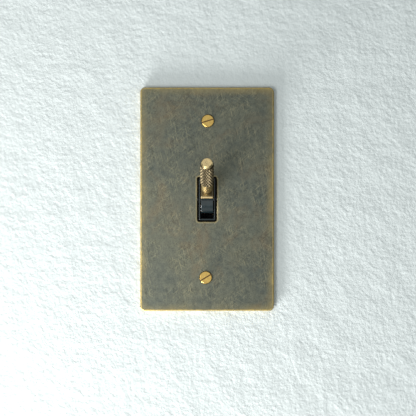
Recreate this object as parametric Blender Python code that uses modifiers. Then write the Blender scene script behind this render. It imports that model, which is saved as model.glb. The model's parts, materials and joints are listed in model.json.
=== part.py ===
"""Toggle wall switch: a brass cover plate and lever in front of a boxed snap switch.

Metres, +Z up. The origin is the centre of the cover plate's back face, on the wall's surface.
+X is right as seen from the room, +Y goes into the wall. The lever is up, which is on.
The lever's pieces are drawn in the frame of lever_axis, whose +Z points out along the lever.
The see-saw's pieces are drawn in the frame of contact_axis, upright as if it stood level.
"""

from math import asin, cos, pi, radians, sin

import bmesh
import bpy
from mathutils import Matrix, Vector

X, Y, Z = 0, 1, 2
GAP = 0.0003  # left between pieces that touch
TINY = 1e-6
OVER = 0.0005  # how far a cutter runs past what it cuts

# Cover plate
PLATE_WIDTH = 0.0712
PLATE_HEIGHT = 0.1190
PLATE_THICKNESS = 0.0025
PLATE_CORNER = 0.0025
PLATE_EDGE = 0.0004
OPENING_WIDTH = 0.0103
OPENING_HEIGHT = 0.0238
OPENING_CORNER = 0.0012

# Cover plate screws, at the pitch of a wall box's lugs
BOX_PITCH = 0.0833
PLATE_SCREWS = {  # x, z, and the degrees that the slot stands at
    "top": (0.0004, BOX_PITCH / 2, 17),
    "bottom": (-0.0007, -BOX_PITCH / 2, 31),
}
PLATE_HEAD_RADIUS = 0.0033
PLATE_HEAD_HEIGHT = 0.0015
PLATE_SHANK_RADIUS = 0.0017
PLATE_SHANK_LENGTH = 0.0220
SEAT_RADIUS = 0.0036
SEAT_DEPTH = 0.0005
SLOT_WIDTH = 0.0009
SLOT_DEPTH = 0.0006

# Mounting strap
STRAP_FRONT = 0.0013
STRAP_THICKNESS = 0.0012
STRAP_BACK = STRAP_FRONT + STRAP_THICKNESS
STRAP_HALF_LENGTH = 0.0530
BAND_HALF_WIDTH = 0.01225
EAR_HALF_WIDTH = 0.01665
EAR_START = 0.0360
EAR_CORNER = 0.0030
WINDOW_HALF_WIDTH = 0.00625
WINDOW_HALF_HEIGHT = 0.0130
BOX_SLOT_HALF_LENGTH = 0.0044
BOX_SLOT_RADIUS = 0.0021
TAPPED_HEIGHT = 0.03015
TAPPED_RADIUS = 0.0015
RETAINER_SIDE = 0.0095
RETAINER_THICKNESS = 0.0008

# Ground tab and screw, at the strap's left edge
GROUND_TAB = ((-BAND_HALF_WIDTH, STRAP_FRONT, -0.0350),
              (-BAND_HALF_WIDTH + STRAP_THICKNESS, 0.0108, -0.0284))
GROUND_SCREW_AT = (0.0068, -0.0317)
GROUND_HEAD_RADIUS = 0.0029
GROUND_SHANK_LENGTH = 0.0048

# Moulded case
CASE_HALF_WIDTH = 0.0130
CASE_HALF_HEIGHT = 0.0275
CASE_CORNER = 0.0015
COVER_FRONT = STRAP_BACK + GAP
COVER_BACK = 0.0073
HOUSING_FRONT = COVER_BACK + GAP
HOUSING_BACK = 0.0225
HOUSING_WALL = 0.0018
HOUSING_FLOOR = HOUSING_BACK - HOUSING_WALL
COLLAR_FRONT = -0.0023
COLLAR_HALF_WIDTH = OPENING_WIDTH / 2 - GAP
COLLAR_HALF_HEIGHT = OPENING_HEIGHT / 2 - GAP
SLOT_HALF_WIDTH = 0.00355
SLOT_HALF_HEIGHT = 0.0102
RIVET_X = 0.0095
RIVET_Z = 0.0235
RIVET_RADIUS = 0.00125
RIVET_HOLE = 0.00155
RIVET_HEAD_RADIUS = 0.0021
RIVET_HEAD_HEIGHT = 0.0006
RIVET_SIDES = 16
BOSS_RADIUS = 0.0030
KEEPER_INNER = 0.0042
KEEPER_BACK = 0.0105
KEEPER_THICKNESS = 0.0022
BARRIER_Z = (-0.0052, -0.0042)

# Lever: distances along it are from its pivot
PIVOT_Y = 0.0040
LEVER_TILT = radians(28)  # from straight out, up at rest and as far down when thrown
BARREL_RADIUS = 0.0093
BARREL_HALF_ANGLE = radians(80)
BARREL_HALF_WIDTH = 0.00325
HUB_RADIUS = 0.0032
FOOT_HALF_LENGTH = 0.00475
FOOT_SEAT = 0.0092
FOOT_BOTTOM = FOOT_SEAT + GAP
FOOT_TOP = 0.0110
GRIP_BOTTOM = FOOT_TOP + GAP
NECK_RADIUS = 0.00295
KNURL_RADIUS = 0.00365
KNURL_BOTTOM = 0.0190
KNURL_TOP = 0.0371
CAP_BOTTOM = 0.0376
CAP_TOP = 0.0390
CAP_CHAMFER = 0.0005
STUD_RADIUS = 0.0015
STUD_HOLE = 0.0018
STUD_ENDS = (0.0045, 0.0170)
PIN_RADIUS = 0.00125
PIN_HALF_LENGTH = 0.0072
PIN_HOLE = 0.00145
STEM_RADIUS = 0.0028
STEM_END = 0.0090
STEM_BORE = 0.0020
STEM_BORE_START = 0.0026

# Plunger and its spring, in the stem
PLUNGER_RADIUS = 0.0017
PLUNGER_BORE = 0.00125
PLUNGER_START = 0.0050
PLUNGER_BORE_END = 0.0095
PLUNGER_SHOULDER = 0.0110
NOSE_RADIUS = 0.0012
NOSE_CENTRE = 0.0120
SPRING_RADIUS = 0.0009
WIRE_RADIUS = 0.00018
SPRING_TURNS = 6

# Stops of the lever
RIB_INNER = 0.0082
RIB_OUTER = 0.0100
RIB_HALF_WIDTH = 0.0060
RIB_BACK = 0.0115
BUMPER_HALF_WIDTH = 0.0035
BUMPER_INNER = 0.0070
BUMPER_Y = (0.0080, 0.0112)

# Contact see-saw: a cradle round the plunger's path, with a flat tab at each end
SEESAW_Y = 0.0184
SEESAW_TILT = radians(10)
CRADLE_CENTRE = -0.0086
CRADLE_RADIUS = 0.0077
CRADLE_HALF_ANGLE = radians(50)
SHEET = 0.0008
TAB_END = 0.0105
SEESAW_HALF_WIDTH = 0.0030
CONTACT_Z = 0.0085
CONTACT_RADIUS = 0.0015
CONTACT_THICKNESS = 0.0006
STOP_HALF_WIDTH = 0.0025
STOP_Z = (0.0072, 0.0104)
STOP_PAD_Y = (0.01775, 0.0186)

# Terminals, on the housing's floor and out through its right wall
TERMINAL_THICKNESS = 0.0010
TERMINAL_BACK = HOUSING_FLOOR - GAP
TERMINAL_TOP = TERMINAL_BACK - TERMINAL_THICKNESS
TERMINAL_OUT = 0.0143
TERMINAL_TAB_FRONT = 0.0082
WIRE_Y = 0.0130
WIRE_Z = 0.0130
WIRE_TAB = (0.0095, 0.0165)
STRIP_RIGHT = 0.0110
LINE_STRIP_LEFT = -0.0036
LINE_STRIP_TOP = -0.0062
LOAD_STRIP_LEFT = -0.0042
LOAD_STRIP_HALF_HEIGHT = 0.0032
LOAD_LEG_LEFT = 0.0050
CHEEK_X = (0.0034, 0.0041)
CHEEK_FRONT = 0.0160
CHEEK_HALF_HEIGHT = 0.0025
FIXED_CONTACT_Z = -0.0087
FIXED_CONTACT_FACE = 0.01852
FIXED_CONTACT_RADIUS = 0.0016
FULCRUM_TOP = 0.0186
FULCRUM_HALF_HEIGHT = 0.0012
CLAMP_SIDE = 0.0075
CLAMP_THICKNESS = 0.0008
CLAMP_HOLE = 0.0019
WIRE_HEAD_RADIUS = 0.0034
WIRE_HEAD_HEIGHT = 0.0020
WIRE_SHANK_RADIUS = 0.0016
WIRE_SHANK_LENGTH = 0.0042

# Colour, roughness and metallic value of each material
MATERIALS = {
    "antique_brass": ((0.150, 0.140, 0.105), 0.45, 1.0),
    "polished_brass": ((0.690, 0.480, 0.190), 0.25, 1.0),
    "knurled_brass": ((0.420, 0.290, 0.120), 0.35, 1.0),
    "black_phenolic": ((0.012, 0.013, 0.016), 0.25, 0.0),
    "housing_phenolic": ((0.035, 0.026, 0.022), 0.45, 0.0),
    "zinc_steel": ((0.560, 0.560, 0.540), 0.35, 1.0),
    "spring_steel": ((0.480, 0.480, 0.480), 0.30, 1.0),
    "copper": ((0.700, 0.330, 0.200), 0.30, 1.0),
    "contact_silver": ((0.800, 0.800, 0.780), 0.25, 1.0),
    "red_fibre": ((0.330, 0.055, 0.035), 0.80, 0.0),
    "nylon": ((0.620, 0.600, 0.540), 0.50, 0.0),
    "rubber": ((0.030, 0.030, 0.030), 0.85, 0.0),
    "green_steel": ((0.040, 0.240, 0.080), 0.35, 1.0),
}


def clear_scene():
    for obj in list(bpy.data.objects):
        bpy.data.objects.remove(obj, do_unlink=True)
    for old in list(bpy.data.collections):
        bpy.data.collections.remove(old)


def new_collection(name):
    made = bpy.data.collections.new(name)
    bpy.context.scene.collection.children.link(made)
    return made


def new_material(name, colour, roughness, metallic):
    made = bpy.data.materials.new(name)
    made.use_nodes = True
    made.diffuse_color = (*colour, 1)
    shader = made.node_tree.nodes["Principled BSDF"]
    shader.inputs["Base Color"].default_value = (*colour, 1)
    shader.inputs["Roughness"].default_value = roughness
    shader.inputs["Metallic"].default_value = metallic
    return made


clear_scene()
parts = new_collection("toggle_wall_switch")
cutters = new_collection("cutters")
materials = {name: new_material(name, *values) for name, values in MATERIALS.items()}


# Shapes

def add(name, data, frame=None):
    """An object of the mesh or curve, drawn in the frame of an empty if it has one."""
    obj = bpy.data.objects.new(name, data)
    obj.parent = frame
    parts.objects.link(obj)
    return obj


def add_bmesh(name, bm, frame=None):
    mesh = bpy.data.meshes.new(name)
    bm.to_mesh(mesh)
    bm.free()
    return add(name, mesh, frame)


def axis_empty(name, height, tilt):
    """The axis of a moving group: parallel to X, `height` behind the wall's surface."""
    obj = add(name, None)
    obj.location = (0, height, 0)
    obj.rotation_euler = (tilt, 0, 0)
    return obj


def box(name, low, high, frame=None):
    """A box between two opposite corners."""
    low, high = Vector(low), Vector(high)
    bm = bmesh.new()
    bmesh.ops.create_cube(bm, size=1)
    place = Matrix.Translation((low + high) / 2) @ Matrix.Diagonal((*(high - low), 1))
    bmesh.ops.transform(bm, matrix=place, verts=bm.verts)
    return add_bmesh(name, bm, frame)


def rod(name, radius, start, end, frame=None, sides=24):
    """A round bar from one point to another."""
    start, end = Vector(start), Vector(end)
    bm = bmesh.new()
    bmesh.ops.create_cone(
        bm, cap_ends=True, segments=sides, radius1=radius, radius2=radius, depth=(end - start).length)
    turn = Vector((0, 0, 1)).rotation_difference(end - start).to_matrix().to_4x4()
    bmesh.ops.transform(bm, matrix=Matrix.Translation((start + end) / 2) @ turn, verts=bm.verts)
    return add_bmesh(name, bm, frame)


def turned(name, profile, frame=None, steps=24):
    """A profile of (radius, height) points, outer side downwards, turned round Z."""
    bm = bmesh.new()
    verts = [bm.verts.new((radius, 0, height)) for radius, height in profile]
    for upper, lower in zip(verts, verts[1:]):
        bm.edges.new((upper, lower))
    obj = add_bmesh(name, bm, frame)
    screw = obj.modifiers.new("Turn", "SCREW")
    screw.steps = screw.render_steps = steps
    screw.use_merge_vertices = True
    screw.merge_threshold = TINY
    return obj


def sheet(name, outline, front, thickness, frame=None):
    """A flat (x, z) outline cut from sheet, from `front` backwards along Y."""
    curve = flat_curve(name, outline, thickness)
    turn = Matrix.Translation((0, front + thickness / 2, 0)) @ Matrix.Rotation(radians(90), 4, "X")
    return curve_to_mesh(name, curve, turn, frame)


def side_slab(name, outline, half_width, frame=None):
    """A flat (y, z) outline, as thick along X as the half width says, either side of X = 0."""
    curve = flat_curve(name, outline, 2 * half_width)
    turn = Matrix(((0, 0, 1, 0), (1, 0, 0, 0), (0, 1, 0, 0), (0, 0, 0, 1)))
    return curve_to_mesh(name, curve, turn, frame)


def flat_curve(name, outline, thickness):
    """A filled 2D curve through the outline's points."""
    curve = bpy.data.curves.new(name, "CURVE")
    curve.dimensions = "2D"
    curve.fill_mode = "BOTH"
    curve.extrude = thickness / 2
    spline = curve.splines.new("POLY")
    spline.points.add(len(outline) - 1)
    for point, (across, up) in zip(spline.points, outline):
        point.co = (across, up, 0, 1)
    spline.use_cyclic_u = True
    return curve


def curve_to_mesh(name, curve, matrix, frame):
    """The curve as a closed mesh, moved by the matrix."""
    drawn = bpy.data.objects.new(name, curve)
    cutters.objects.link(drawn)
    evaluated = drawn.evaluated_get(bpy.context.evaluated_depsgraph_get())
    mesh = bpy.data.meshes.new_from_object(evaluated)
    bpy.data.objects.remove(drawn, do_unlink=True)
    mesh.materials.clear()
    bm = bmesh.new()
    bm.from_mesh(mesh)
    bmesh.ops.remove_doubles(bm, verts=bm.verts, dist=TINY)
    bmesh.ops.transform(bm, matrix=matrix, verts=bm.verts)
    bmesh.ops.recalc_face_normals(bm, faces=bm.faces)
    bpy.data.meshes.remove(mesh)
    return add_bmesh(name, bm, frame)


def arc(radius, first, last, steps, centre=(0, 0)):
    """Points on a circle, at angles measured from the second axis towards the first."""
    angles = [first + (last - first) * i / steps for i in range(steps + 1)]
    return [(centre[0] + radius * sin(a), centre[1] + radius * cos(a)) for a in angles]


# Edges, cuts and joins

def along(axis):
    """Picks the edges that run along an axis."""
    others = [i for i in (X, Y, Z) if i != axis]
    return lambda a, b: all(abs(a.co[i] - b.co[i]) < TINY for i in others)


def in_plane(axis, place):
    """Picks the edges that lie in a plane."""
    return lambda a, b: abs(a.co[axis] - place) < TINY and abs(b.co[axis] - place) < TINY


def round_edges(obj, picked, width, segments=4):
    bm = bmesh.new()
    bm.from_mesh(obj.data)
    edges = [edge for edge in bm.edges if picked(*edge.verts)]
    bmesh.ops.bevel(bm, geom=edges, offset=width, segments=segments, profile=0.5, affect="EDGES")
    bm.to_mesh(obj.data)
    bm.free()
    return obj


def combine(target, tool, operation):
    """Makes the tool a hidden helper in the target's frame, and uses it on the target."""
    parts.objects.unlink(tool)
    cutters.objects.link(tool)
    tool.parent = target
    tool.hide_render = True
    tool.display_type = "WIRE"
    boolean = target.modifiers.new(tool.name, "BOOLEAN")
    boolean.operation = operation
    boolean.object = tool


def cut(target, *tools):
    for tool in tools:
        combine(target, tool, "DIFFERENCE")


def join(target, *tools):
    for tool in tools:
        combine(target, tool, "UNION")


def finish(obj, material):
    """Gives a finished piece its material and smooth round faces."""
    obj.data.materials.append(materials[material])
    if obj.type == "MESH":
        obj.data.shade_smooth()
        obj.data.set_sharp_from_angle(angle=radians(35))
    return obj


def slotted_screw(name, head_radius, head_height, shank_radius, shank_length, material):
    """A screw along Z: underside of the head at Z = 0, slot along X."""
    edge = 0.3 * head_height
    tip = shank_radius / 3
    rounded = arc(edge, 0, pi / 2, 2, (head_radius - edge, head_height - edge))
    profile = [(0, head_height), *rounded, (head_radius, 0), (shank_radius, 0),
               (shank_radius, tip - shank_length), (shank_radius - tip, -shank_length),
               (0, -shank_length)]
    screw = turned(name, profile)
    reach = head_radius + OVER
    cut(screw, box(f"{name}_slot", (-reach, -SLOT_WIDTH / 2, head_height - SLOT_DEPTH),
                   (reach, SLOT_WIDTH / 2, head_height + OVER)))
    return finish(screw, material)


# Cover plate and its screws

def wall_plate():
    half_width, half_height, front = PLATE_WIDTH / 2, PLATE_HEIGHT / 2, -PLATE_THICKNESS
    plate = box("wall_plate", (-half_width, front, -half_height), (half_width, 0, half_height))
    round_edges(plate, along(Y), PLATE_CORNER, 6)
    round_edges(plate, in_plane(Y, front), PLATE_EDGE, 2)
    opening = box("plate_opening", (-OPENING_WIDTH / 2, front - OVER, -OPENING_HEIGHT / 2),
                  (OPENING_WIDTH / 2, OVER, OPENING_HEIGHT / 2))
    cut(plate, round_edges(opening, along(Y), OPENING_CORNER))
    for end, (x, z, _) in PLATE_SCREWS.items():
        cut(plate, rod(f"plate_hole_{end}", BOX_SLOT_RADIUS, (x, front - OVER, z), (x, OVER, z)),
            rod(f"plate_seat_{end}", SEAT_RADIUS, (x, front - OVER, z), (x, front + SEAT_DEPTH, z)))
    finish(plate, "antique_brass")


def plate_screws():
    for end, (x, z, slot_angle) in PLATE_SCREWS.items():
        screw = slotted_screw(f"plate_screw_{end}", PLATE_HEAD_RADIUS, PLATE_HEAD_HEIGHT,
                              PLATE_SHANK_RADIUS, PLATE_SHANK_LENGTH, "polished_brass")
        screw.location = (x, SEAT_DEPTH - PLATE_THICKNESS - GAP, z)
        turn = Matrix.Rotation(radians(90), 3, "X") @ Matrix.Rotation(radians(slot_angle), 3, "Z")
        screw.rotation_euler = turn.to_euler()


def screw_retainers():
    half = RETAINER_SIDE / 2
    front = STRAP_BACK + GAP
    back = front + RETAINER_THICKNESS
    for end, (x, z, _) in PLATE_SCREWS.items():
        retainer = box(f"screw_retainer_{end}", (x - half, front, z - half), (x + half, back, z + half))
        cut(retainer, rod(f"retainer_hole_{end}", PLATE_SHANK_RADIUS + GAP,
                          (x, front - OVER, z), (x, back + OVER, z)))
        finish(retainer, "red_fibre")


# Strap, ground screw and rivets

def mounting_strap():
    front, back = STRAP_FRONT, STRAP_BACK
    strap = box("mounting_strap", (-BAND_HALF_WIDTH, front, -EAR_START - OVER),
                (BAND_HALF_WIDTH, back, EAR_START + OVER))
    for side, end in ((1, "top"), (-1, "bottom")):
        low, high = sorted((side * EAR_START, side * STRAP_HALF_LENGTH))
        ear = box(f"ear_{end}", (-EAR_HALF_WIDTH, front, low), (EAR_HALF_WIDTH, back, high))
        join(strap, round_edges(ear, along(Y), EAR_CORNER))
    join(strap, box("ground_tab", *GROUND_TAB))
    before, behind = front - OVER, back + OVER
    window = box("strap_window", (-WINDOW_HALF_WIDTH, before, -WINDOW_HALF_HEIGHT),
                 (WINDOW_HALF_WIDTH, behind, WINDOW_HALF_HEIGHT))
    cut(strap, round_edges(window, along(Y), OPENING_CORNER))
    for side, end in ((1, "top"), (-1, "bottom")):
        z = side * BOX_PITCH / 2
        slot = box(f"box_slot_{end}", (-BOX_SLOT_HALF_LENGTH, before, z - BOX_SLOT_RADIUS),
                   (BOX_SLOT_HALF_LENGTH, behind, z + BOX_SLOT_RADIUS))
        cut(strap, round_edges(slot, along(Y), 0.95 * BOX_SLOT_RADIUS, 6))
        z = side * TAPPED_HEIGHT
        cut(strap, rod(f"tapped_hole_{end}", TAPPED_RADIUS, (0, before, z), (0, behind, z)))
    for name, x, z in rivet_places():
        cut(strap, rod(f"strap_{name}", RIVET_HOLE, (x, before, z), (x, behind, z), sides=RIVET_SIDES))
    y, z = GROUND_SCREW_AT
    cut(strap, rod("ground_hole", CLAMP_HOLE, (GROUND_TAB[0][X] - OVER, y, z),
                   (GROUND_TAB[1][X] + OVER, y, z)))
    finish(strap, "zinc_steel")


def ground_screw():
    screw = slotted_screw("ground_screw", GROUND_HEAD_RADIUS, WIRE_HEAD_HEIGHT, WIRE_SHANK_RADIUS,
                          GROUND_SHANK_LENGTH, "green_steel")
    y, z = GROUND_SCREW_AT
    screw.location = (GROUND_TAB[0][X] - GAP, y, z)
    screw.rotation_euler = (0, radians(-90), 0)


def rivet_places():
    """Name and (x, z) place of each rivet."""
    sides = ((-1, "left"), (1, "right"))
    ends = ((1, "top"), (-1, "bottom"))
    return [(f"case_rivet_{end}_{side}", a * RIVET_X, b * RIVET_Z) for b, end in ends for a, side in sides]


def case_rivets():
    head, radius = RIVET_HEAD_HEIGHT, RIVET_HEAD_RADIUS
    length = HOUSING_BACK - STRAP_FRONT + 2 * GAP
    dome = [(0, head), (0.7 * radius, 0.8 * head), (radius, 0)]
    tail = length - SEAT_DEPTH - RIVET_HEAD_HEIGHT
    profile = [*dome, (RIVET_RADIUS, 0), (RIVET_RADIUS, -tail), (radius, -tail),
               (0.9 * radius, -tail - head), (0, -tail - head)]
    for name, x, z in rivet_places():
        rivet = turned(name, profile, steps=RIVET_SIDES)
        rivet.location = (x, STRAP_FRONT - GAP, z)
        rivet.rotation_euler = (radians(90), 0, 0)
        finish(rivet, "zinc_steel")


# Moulded case

def front_cover():
    half_width, half_height = CASE_HALF_WIDTH, CASE_HALF_HEIGHT
    cover = box("front_cover", (-half_width, COVER_FRONT, -half_height),
                (half_width, COVER_BACK, half_height))
    round_edges(cover, along(Y), CASE_CORNER)
    collar = box("collar", (-COLLAR_HALF_WIDTH, COLLAR_FRONT, -COLLAR_HALF_HEIGHT),
                 (COLLAR_HALF_WIDTH, COVER_FRONT + OVER, COLLAR_HALF_HEIGHT))
    round_edges(collar, along(Y), OPENING_CORNER - GAP)
    join(cover, round_edges(collar, in_plane(Y, COLLAR_FRONT), 0.0005, 3))
    for side, end in ((1, "upper"), (-1, "lower")):
        low, high = sorted((side * RIB_INNER, side * RIB_OUTER))
        join(cover, box(f"stop_rib_{end}", (-RIB_HALF_WIDTH, COVER_BACK - OVER, low),
                        (RIB_HALF_WIDTH, RIB_BACK, high)))
    slot = box("lever_slot", (-SLOT_HALF_WIDTH, COLLAR_FRONT - OVER, -SLOT_HALF_HEIGHT),
               (SLOT_HALF_WIDTH, COVER_BACK + GAP / 3, SLOT_HALF_HEIGHT))
    cut(cover, round_edges(slot, along(Y), 0.0008))
    cut(cover, box("pin_groove", (-PIN_HALF_LENGTH - GAP, PIVOT_Y, -PIN_HOLE),
                   (PIN_HALF_LENGTH + GAP, COVER_BACK + GAP / 3, PIN_HOLE)),
        rod("pin_seat", PIN_HOLE, (-PIN_HALF_LENGTH - GAP, PIVOT_Y, 0), (PIN_HALF_LENGTH + GAP, PIVOT_Y, 0)))
    for name, x, z in rivet_places():
        cut(cover, rod(f"cover_{name}", RIVET_HOLE, (x, COVER_FRONT - OVER, z),
                       (x, COVER_BACK + OVER, z), sides=RIVET_SIDES))
    finish(cover, "black_phenolic")


def rear_housing():
    half_width, half_height, floor = CASE_HALF_WIDTH, CASE_HALF_HEIGHT, HOUSING_FLOOR
    inner_width, inner_height = half_width - HOUSING_WALL, half_height - HOUSING_WALL
    housing = box("rear_housing", (-half_width, HOUSING_FRONT, -half_height),
                  (half_width, HOUSING_BACK, half_height))
    round_edges(housing, along(Y), CASE_CORNER)
    cut(housing, box("housing_hollow", (-inner_width, HOUSING_FRONT - OVER, -inner_height),
                     (inner_width, floor, inner_height)))
    for name, x, z in rivet_places():
        join(housing, rod(f"boss_{name}", BOSS_RADIUS, (x, HOUSING_FRONT, z), (x, floor + OVER, z)))
        cut(housing, rod(f"housing_{name}", RIVET_HOLE, (x, HOUSING_FRONT - OVER, z),
                         (x, HOUSING_BACK + OVER, z), sides=RIVET_SIDES),
            rod(f"counterbore_{name}", RIVET_HEAD_RADIUS + GAP,
                (x, HOUSING_BACK - SEAT_DEPTH - RIVET_HEAD_HEIGHT, z), (x, HOUSING_BACK + OVER, z),
                sides=RIVET_SIDES))
    for side, end in ((1, "load"), (-1, "line")):
        low, high = sorted(side * (z + d) for z, d in zip(WIRE_TAB, (-GAP, GAP)))
        cut(housing, box(f"{end}_notch", (inner_width - OVER, HOUSING_FRONT - OVER, low),
                         (half_width + OVER, floor, high)))
    for side, end in ((1, "right"), (-1, "left")):
        join(housing, pin_keeper(f"pin_keeper_{end}", side, inner_width + OVER))
    low, high = BARRIER_Z
    join(housing, box("barrier_rib", (-inner_width - OVER, FULCRUM_TOP, low),
                      (inner_width + OVER, floor + OVER, high)))
    low, high = STOP_Z
    join(housing, box("stop_post", (-STOP_HALF_WIDTH, STOP_PAD_Y[1] + GAP, low),
                      (STOP_HALF_WIDTH, floor + OVER, high)))
    finish(housing, "housing_phenolic")


def pin_keeper(name, side, wall):
    """An L-shaped rib from the wall, whose end stands in the cover's groove behind the pin."""
    inner, tongue = KEEPER_INNER, PIN_HALF_LENGTH - GAP
    pin_back = PIVOT_Y + PIN_RADIUS + GAP
    outline = [(inner, pin_back), (tongue, pin_back), (tongue, HOUSING_FRONT), (wall, HOUSING_FRONT),
               (wall, KEEPER_BACK), (inner, KEEPER_BACK)]
    curve = flat_curve(name, [(side * x, y) for x, y in outline], KEEPER_THICKNESS)
    return curve_to_mesh(name, curve, Matrix(), None)


# Lever, drawn outwards along its own Z

def lever(frame):
    toggle_rocker(frame)
    half_width = BARREL_HALF_WIDTH
    foot = box("lever_base", (-half_width, -FOOT_HALF_LENGTH, FOOT_BOTTOM),
               (half_width, FOOT_HALF_LENGTH, FOOT_TOP), frame)
    round_edges(foot, in_plane(Z, FOOT_TOP), 0.0003, 2)
    cut(foot, rod("foot_hole", STUD_HOLE, (0, 0, FOOT_BOTTOM - OVER), (0, 0, FOOT_TOP + OVER)))
    finish(foot, "polished_brass")

    depth = STUD_ENDS[1] + GAP
    edge = CAP_CHAMFER
    profile = [(0, CAP_TOP), (NECK_RADIUS - edge, CAP_TOP), (NECK_RADIUS, CAP_TOP - edge),
               (NECK_RADIUS, CAP_BOTTOM), (KNURL_RADIUS - edge, CAP_BOTTOM), (KNURL_RADIUS, KNURL_TOP),
               (KNURL_RADIUS, KNURL_BOTTOM + edge), (NECK_RADIUS, KNURL_BOTTOM),
               (NECK_RADIUS, GRIP_BOTTOM), (STUD_HOLE, GRIP_BOTTOM), (STUD_HOLE, depth), (0, depth)]
    finish(turned("lever_grip", profile, frame), "knurled_brass")
    low, high = STUD_ENDS
    finish(rod("lever_stud", STUD_RADIUS, (0, 0, low), (0, 0, high), frame), "zinc_steel")
    reach = PIN_HALF_LENGTH
    finish(rod("pivot_pin", PIN_RADIUS, (-reach, 0, 0), (reach, 0, 0), frame), "spring_steel")


def toggle_rocker(frame):
    """Barrel that fills the slot, with a seat for the lever's foot and a hollow stem inside."""
    seat_angle = asin(FOOT_HALF_LENGTH / BARREL_RADIUS)
    outline = [*arc(BARREL_RADIUS, -BARREL_HALF_ANGLE, -seat_angle, 10),
               (-FOOT_HALF_LENGTH, FOOT_SEAT), (FOOT_HALF_LENGTH, FOOT_SEAT),
               *arc(BARREL_RADIUS, seat_angle, BARREL_HALF_ANGLE, 10),
               *arc(HUB_RADIUS, BARREL_HALF_ANGLE, 2 * pi - BARREL_HALF_ANGLE, 16)]
    rocker = side_slab("toggle_rocker", outline, BARREL_HALF_WIDTH, frame)
    edge = 0.0003
    stem = [(0, -PIN_HOLE), (STEM_RADIUS, -PIN_HOLE), (STEM_RADIUS, edge - STEM_END),
            (STEM_RADIUS - edge, -STEM_END), (0, -STEM_END)]
    join(rocker, turned("stem", stem))
    cut(rocker, rod("stem_bore", STEM_BORE, (0, 0, -STEM_END - OVER), (0, 0, -STEM_BORE_START)),
        rod("pin_hole", PIN_HOLE, (-BARREL_HALF_WIDTH - OVER, 0, 0), (BARREL_HALF_WIDTH + OVER, 0, 0)),
        rod("stud_hole", STUD_HOLE, (0, 0, STUD_ENDS[0] - GAP), (0, 0, FOOT_SEAT + OVER)))
    finish(rocker, "black_phenolic")


def plunger(frame):
    """A cup for the spring with a round nose, pointing inwards from the pivot."""
    neck = PLUNGER_SHOULDER - NOSE_CENTRE
    nose = arc(NOSE_RADIUS, pi / 2, pi, 4, (0, -NOSE_CENTRE))
    profile = [(0, -PLUNGER_BORE_END), (PLUNGER_BORE, -PLUNGER_BORE_END), (PLUNGER_BORE, -PLUNGER_START),
               (PLUNGER_RADIUS, -PLUNGER_START), (PLUNGER_RADIUS, -PLUNGER_SHOULDER),
               (NOSE_RADIUS, -PLUNGER_SHOULDER + neck / 2), *nose[:-1], (0, -NOSE_CENTRE - NOSE_RADIUS)]
    finish(turned("plunger", profile, frame), "nylon")


def plunger_spring(frame):
    per_turn = 10
    count = SPRING_TURNS * per_turn
    first = STEM_BORE_START + GAP + WIRE_RADIUS
    last = PLUNGER_BORE_END - GAP - WIRE_RADIUS
    curve = bpy.data.curves.new("plunger_spring", "CURVE")
    curve.dimensions = "3D"
    curve.bevel_depth = WIRE_RADIUS
    curve.bevel_resolution = 2
    curve.use_fill_caps = True
    spline = curve.splines.new("POLY")
    spline.points.add(count)
    for i, point in enumerate(spline.points):
        angle = 2 * pi * i / per_turn
        down = first + (last - first) * i / count
        point.co = (SPRING_RADIUS * cos(angle), SPRING_RADIUS * sin(angle), -down, 1)
    finish(add("plunger_spring", curve, frame), "spring_steel")


def stops():
    """Pads that the stem and the open contact come to rest on."""
    front, back = BUMPER_Y
    for side, end in ((1, "upper"), (-1, "lower")):
        low, high = sorted((side * BUMPER_INNER, side * (RIB_INNER - GAP)))
        bumper = box(f"stop_bumper_{end}", (-BUMPER_HALF_WIDTH, front, low), (BUMPER_HALF_WIDTH, back, high))
        finish(bumper, "rubber")
    front, back = STOP_PAD_Y
    low, high = STOP_Z
    pad = box("contact_stop_pad", (-STOP_HALF_WIDTH, front, low), (STOP_HALF_WIDTH, back, high))
    finish(pad, "red_fibre")


# Contacts and terminals

def contact_seesaw(frame):
    """A copper strip bent into a cradle with flat tabs, and the silver button on its lower tab."""
    front = arc(CRADLE_RADIUS, pi / 2 - CRADLE_HALF_ANGLE, pi / 2 + CRADLE_HALF_ANGLE, 20, (CRADLE_CENTRE, 0))
    y = front[0][0]
    bend = [(y, TAB_END), *front, (y, -TAB_END)]
    half = SEESAW_HALF_WIDTH
    bm = bmesh.new()
    rows = [[bm.verts.new((x, y, z)) for y, z in bend] for x in (-half, half)]
    for left, right, next_left, next_right in zip(rows[0], rows[1], rows[0][1:], rows[1][1:]):
        bm.faces.new((left, right, next_right, next_left))
    seesaw = add_bmesh("contact_rocker", bm, frame)
    thick = seesaw.modifiers.new("Sheet", "SOLIDIFY")
    thick.thickness = SHEET
    thick.offset = 1
    thick.use_even_offset = True
    finish(seesaw, "copper")

    back = y + SHEET + GAP
    finish(rod("moving_contact", CONTACT_RADIUS, (0, back, -CONTACT_Z),
               (0, back + CONTACT_THICKNESS, -CONTACT_Z), frame), "contact_silver")


def line_terminal():
    near, far = WIRE_TAB
    outline = [(LINE_STRIP_LEFT, LINE_STRIP_TOP), (LINE_STRIP_LEFT, -far), (TERMINAL_OUT, -far),
               (TERMINAL_OUT, -near), (STRIP_RIGHT, -near), (STRIP_RIGHT, LINE_STRIP_TOP)]
    strip = sheet("line_terminal", outline, TERMINAL_TOP, TERMINAL_THICKNESS)
    wire_tab(strip, -1)
    finish(strip, "polished_brass")
    finish(rod("fixed_contact", FIXED_CONTACT_RADIUS, (0, FIXED_CONTACT_FACE, FIXED_CONTACT_Z),
               (0, TERMINAL_TOP - GAP, FIXED_CONTACT_Z)), "contact_silver")


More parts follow.
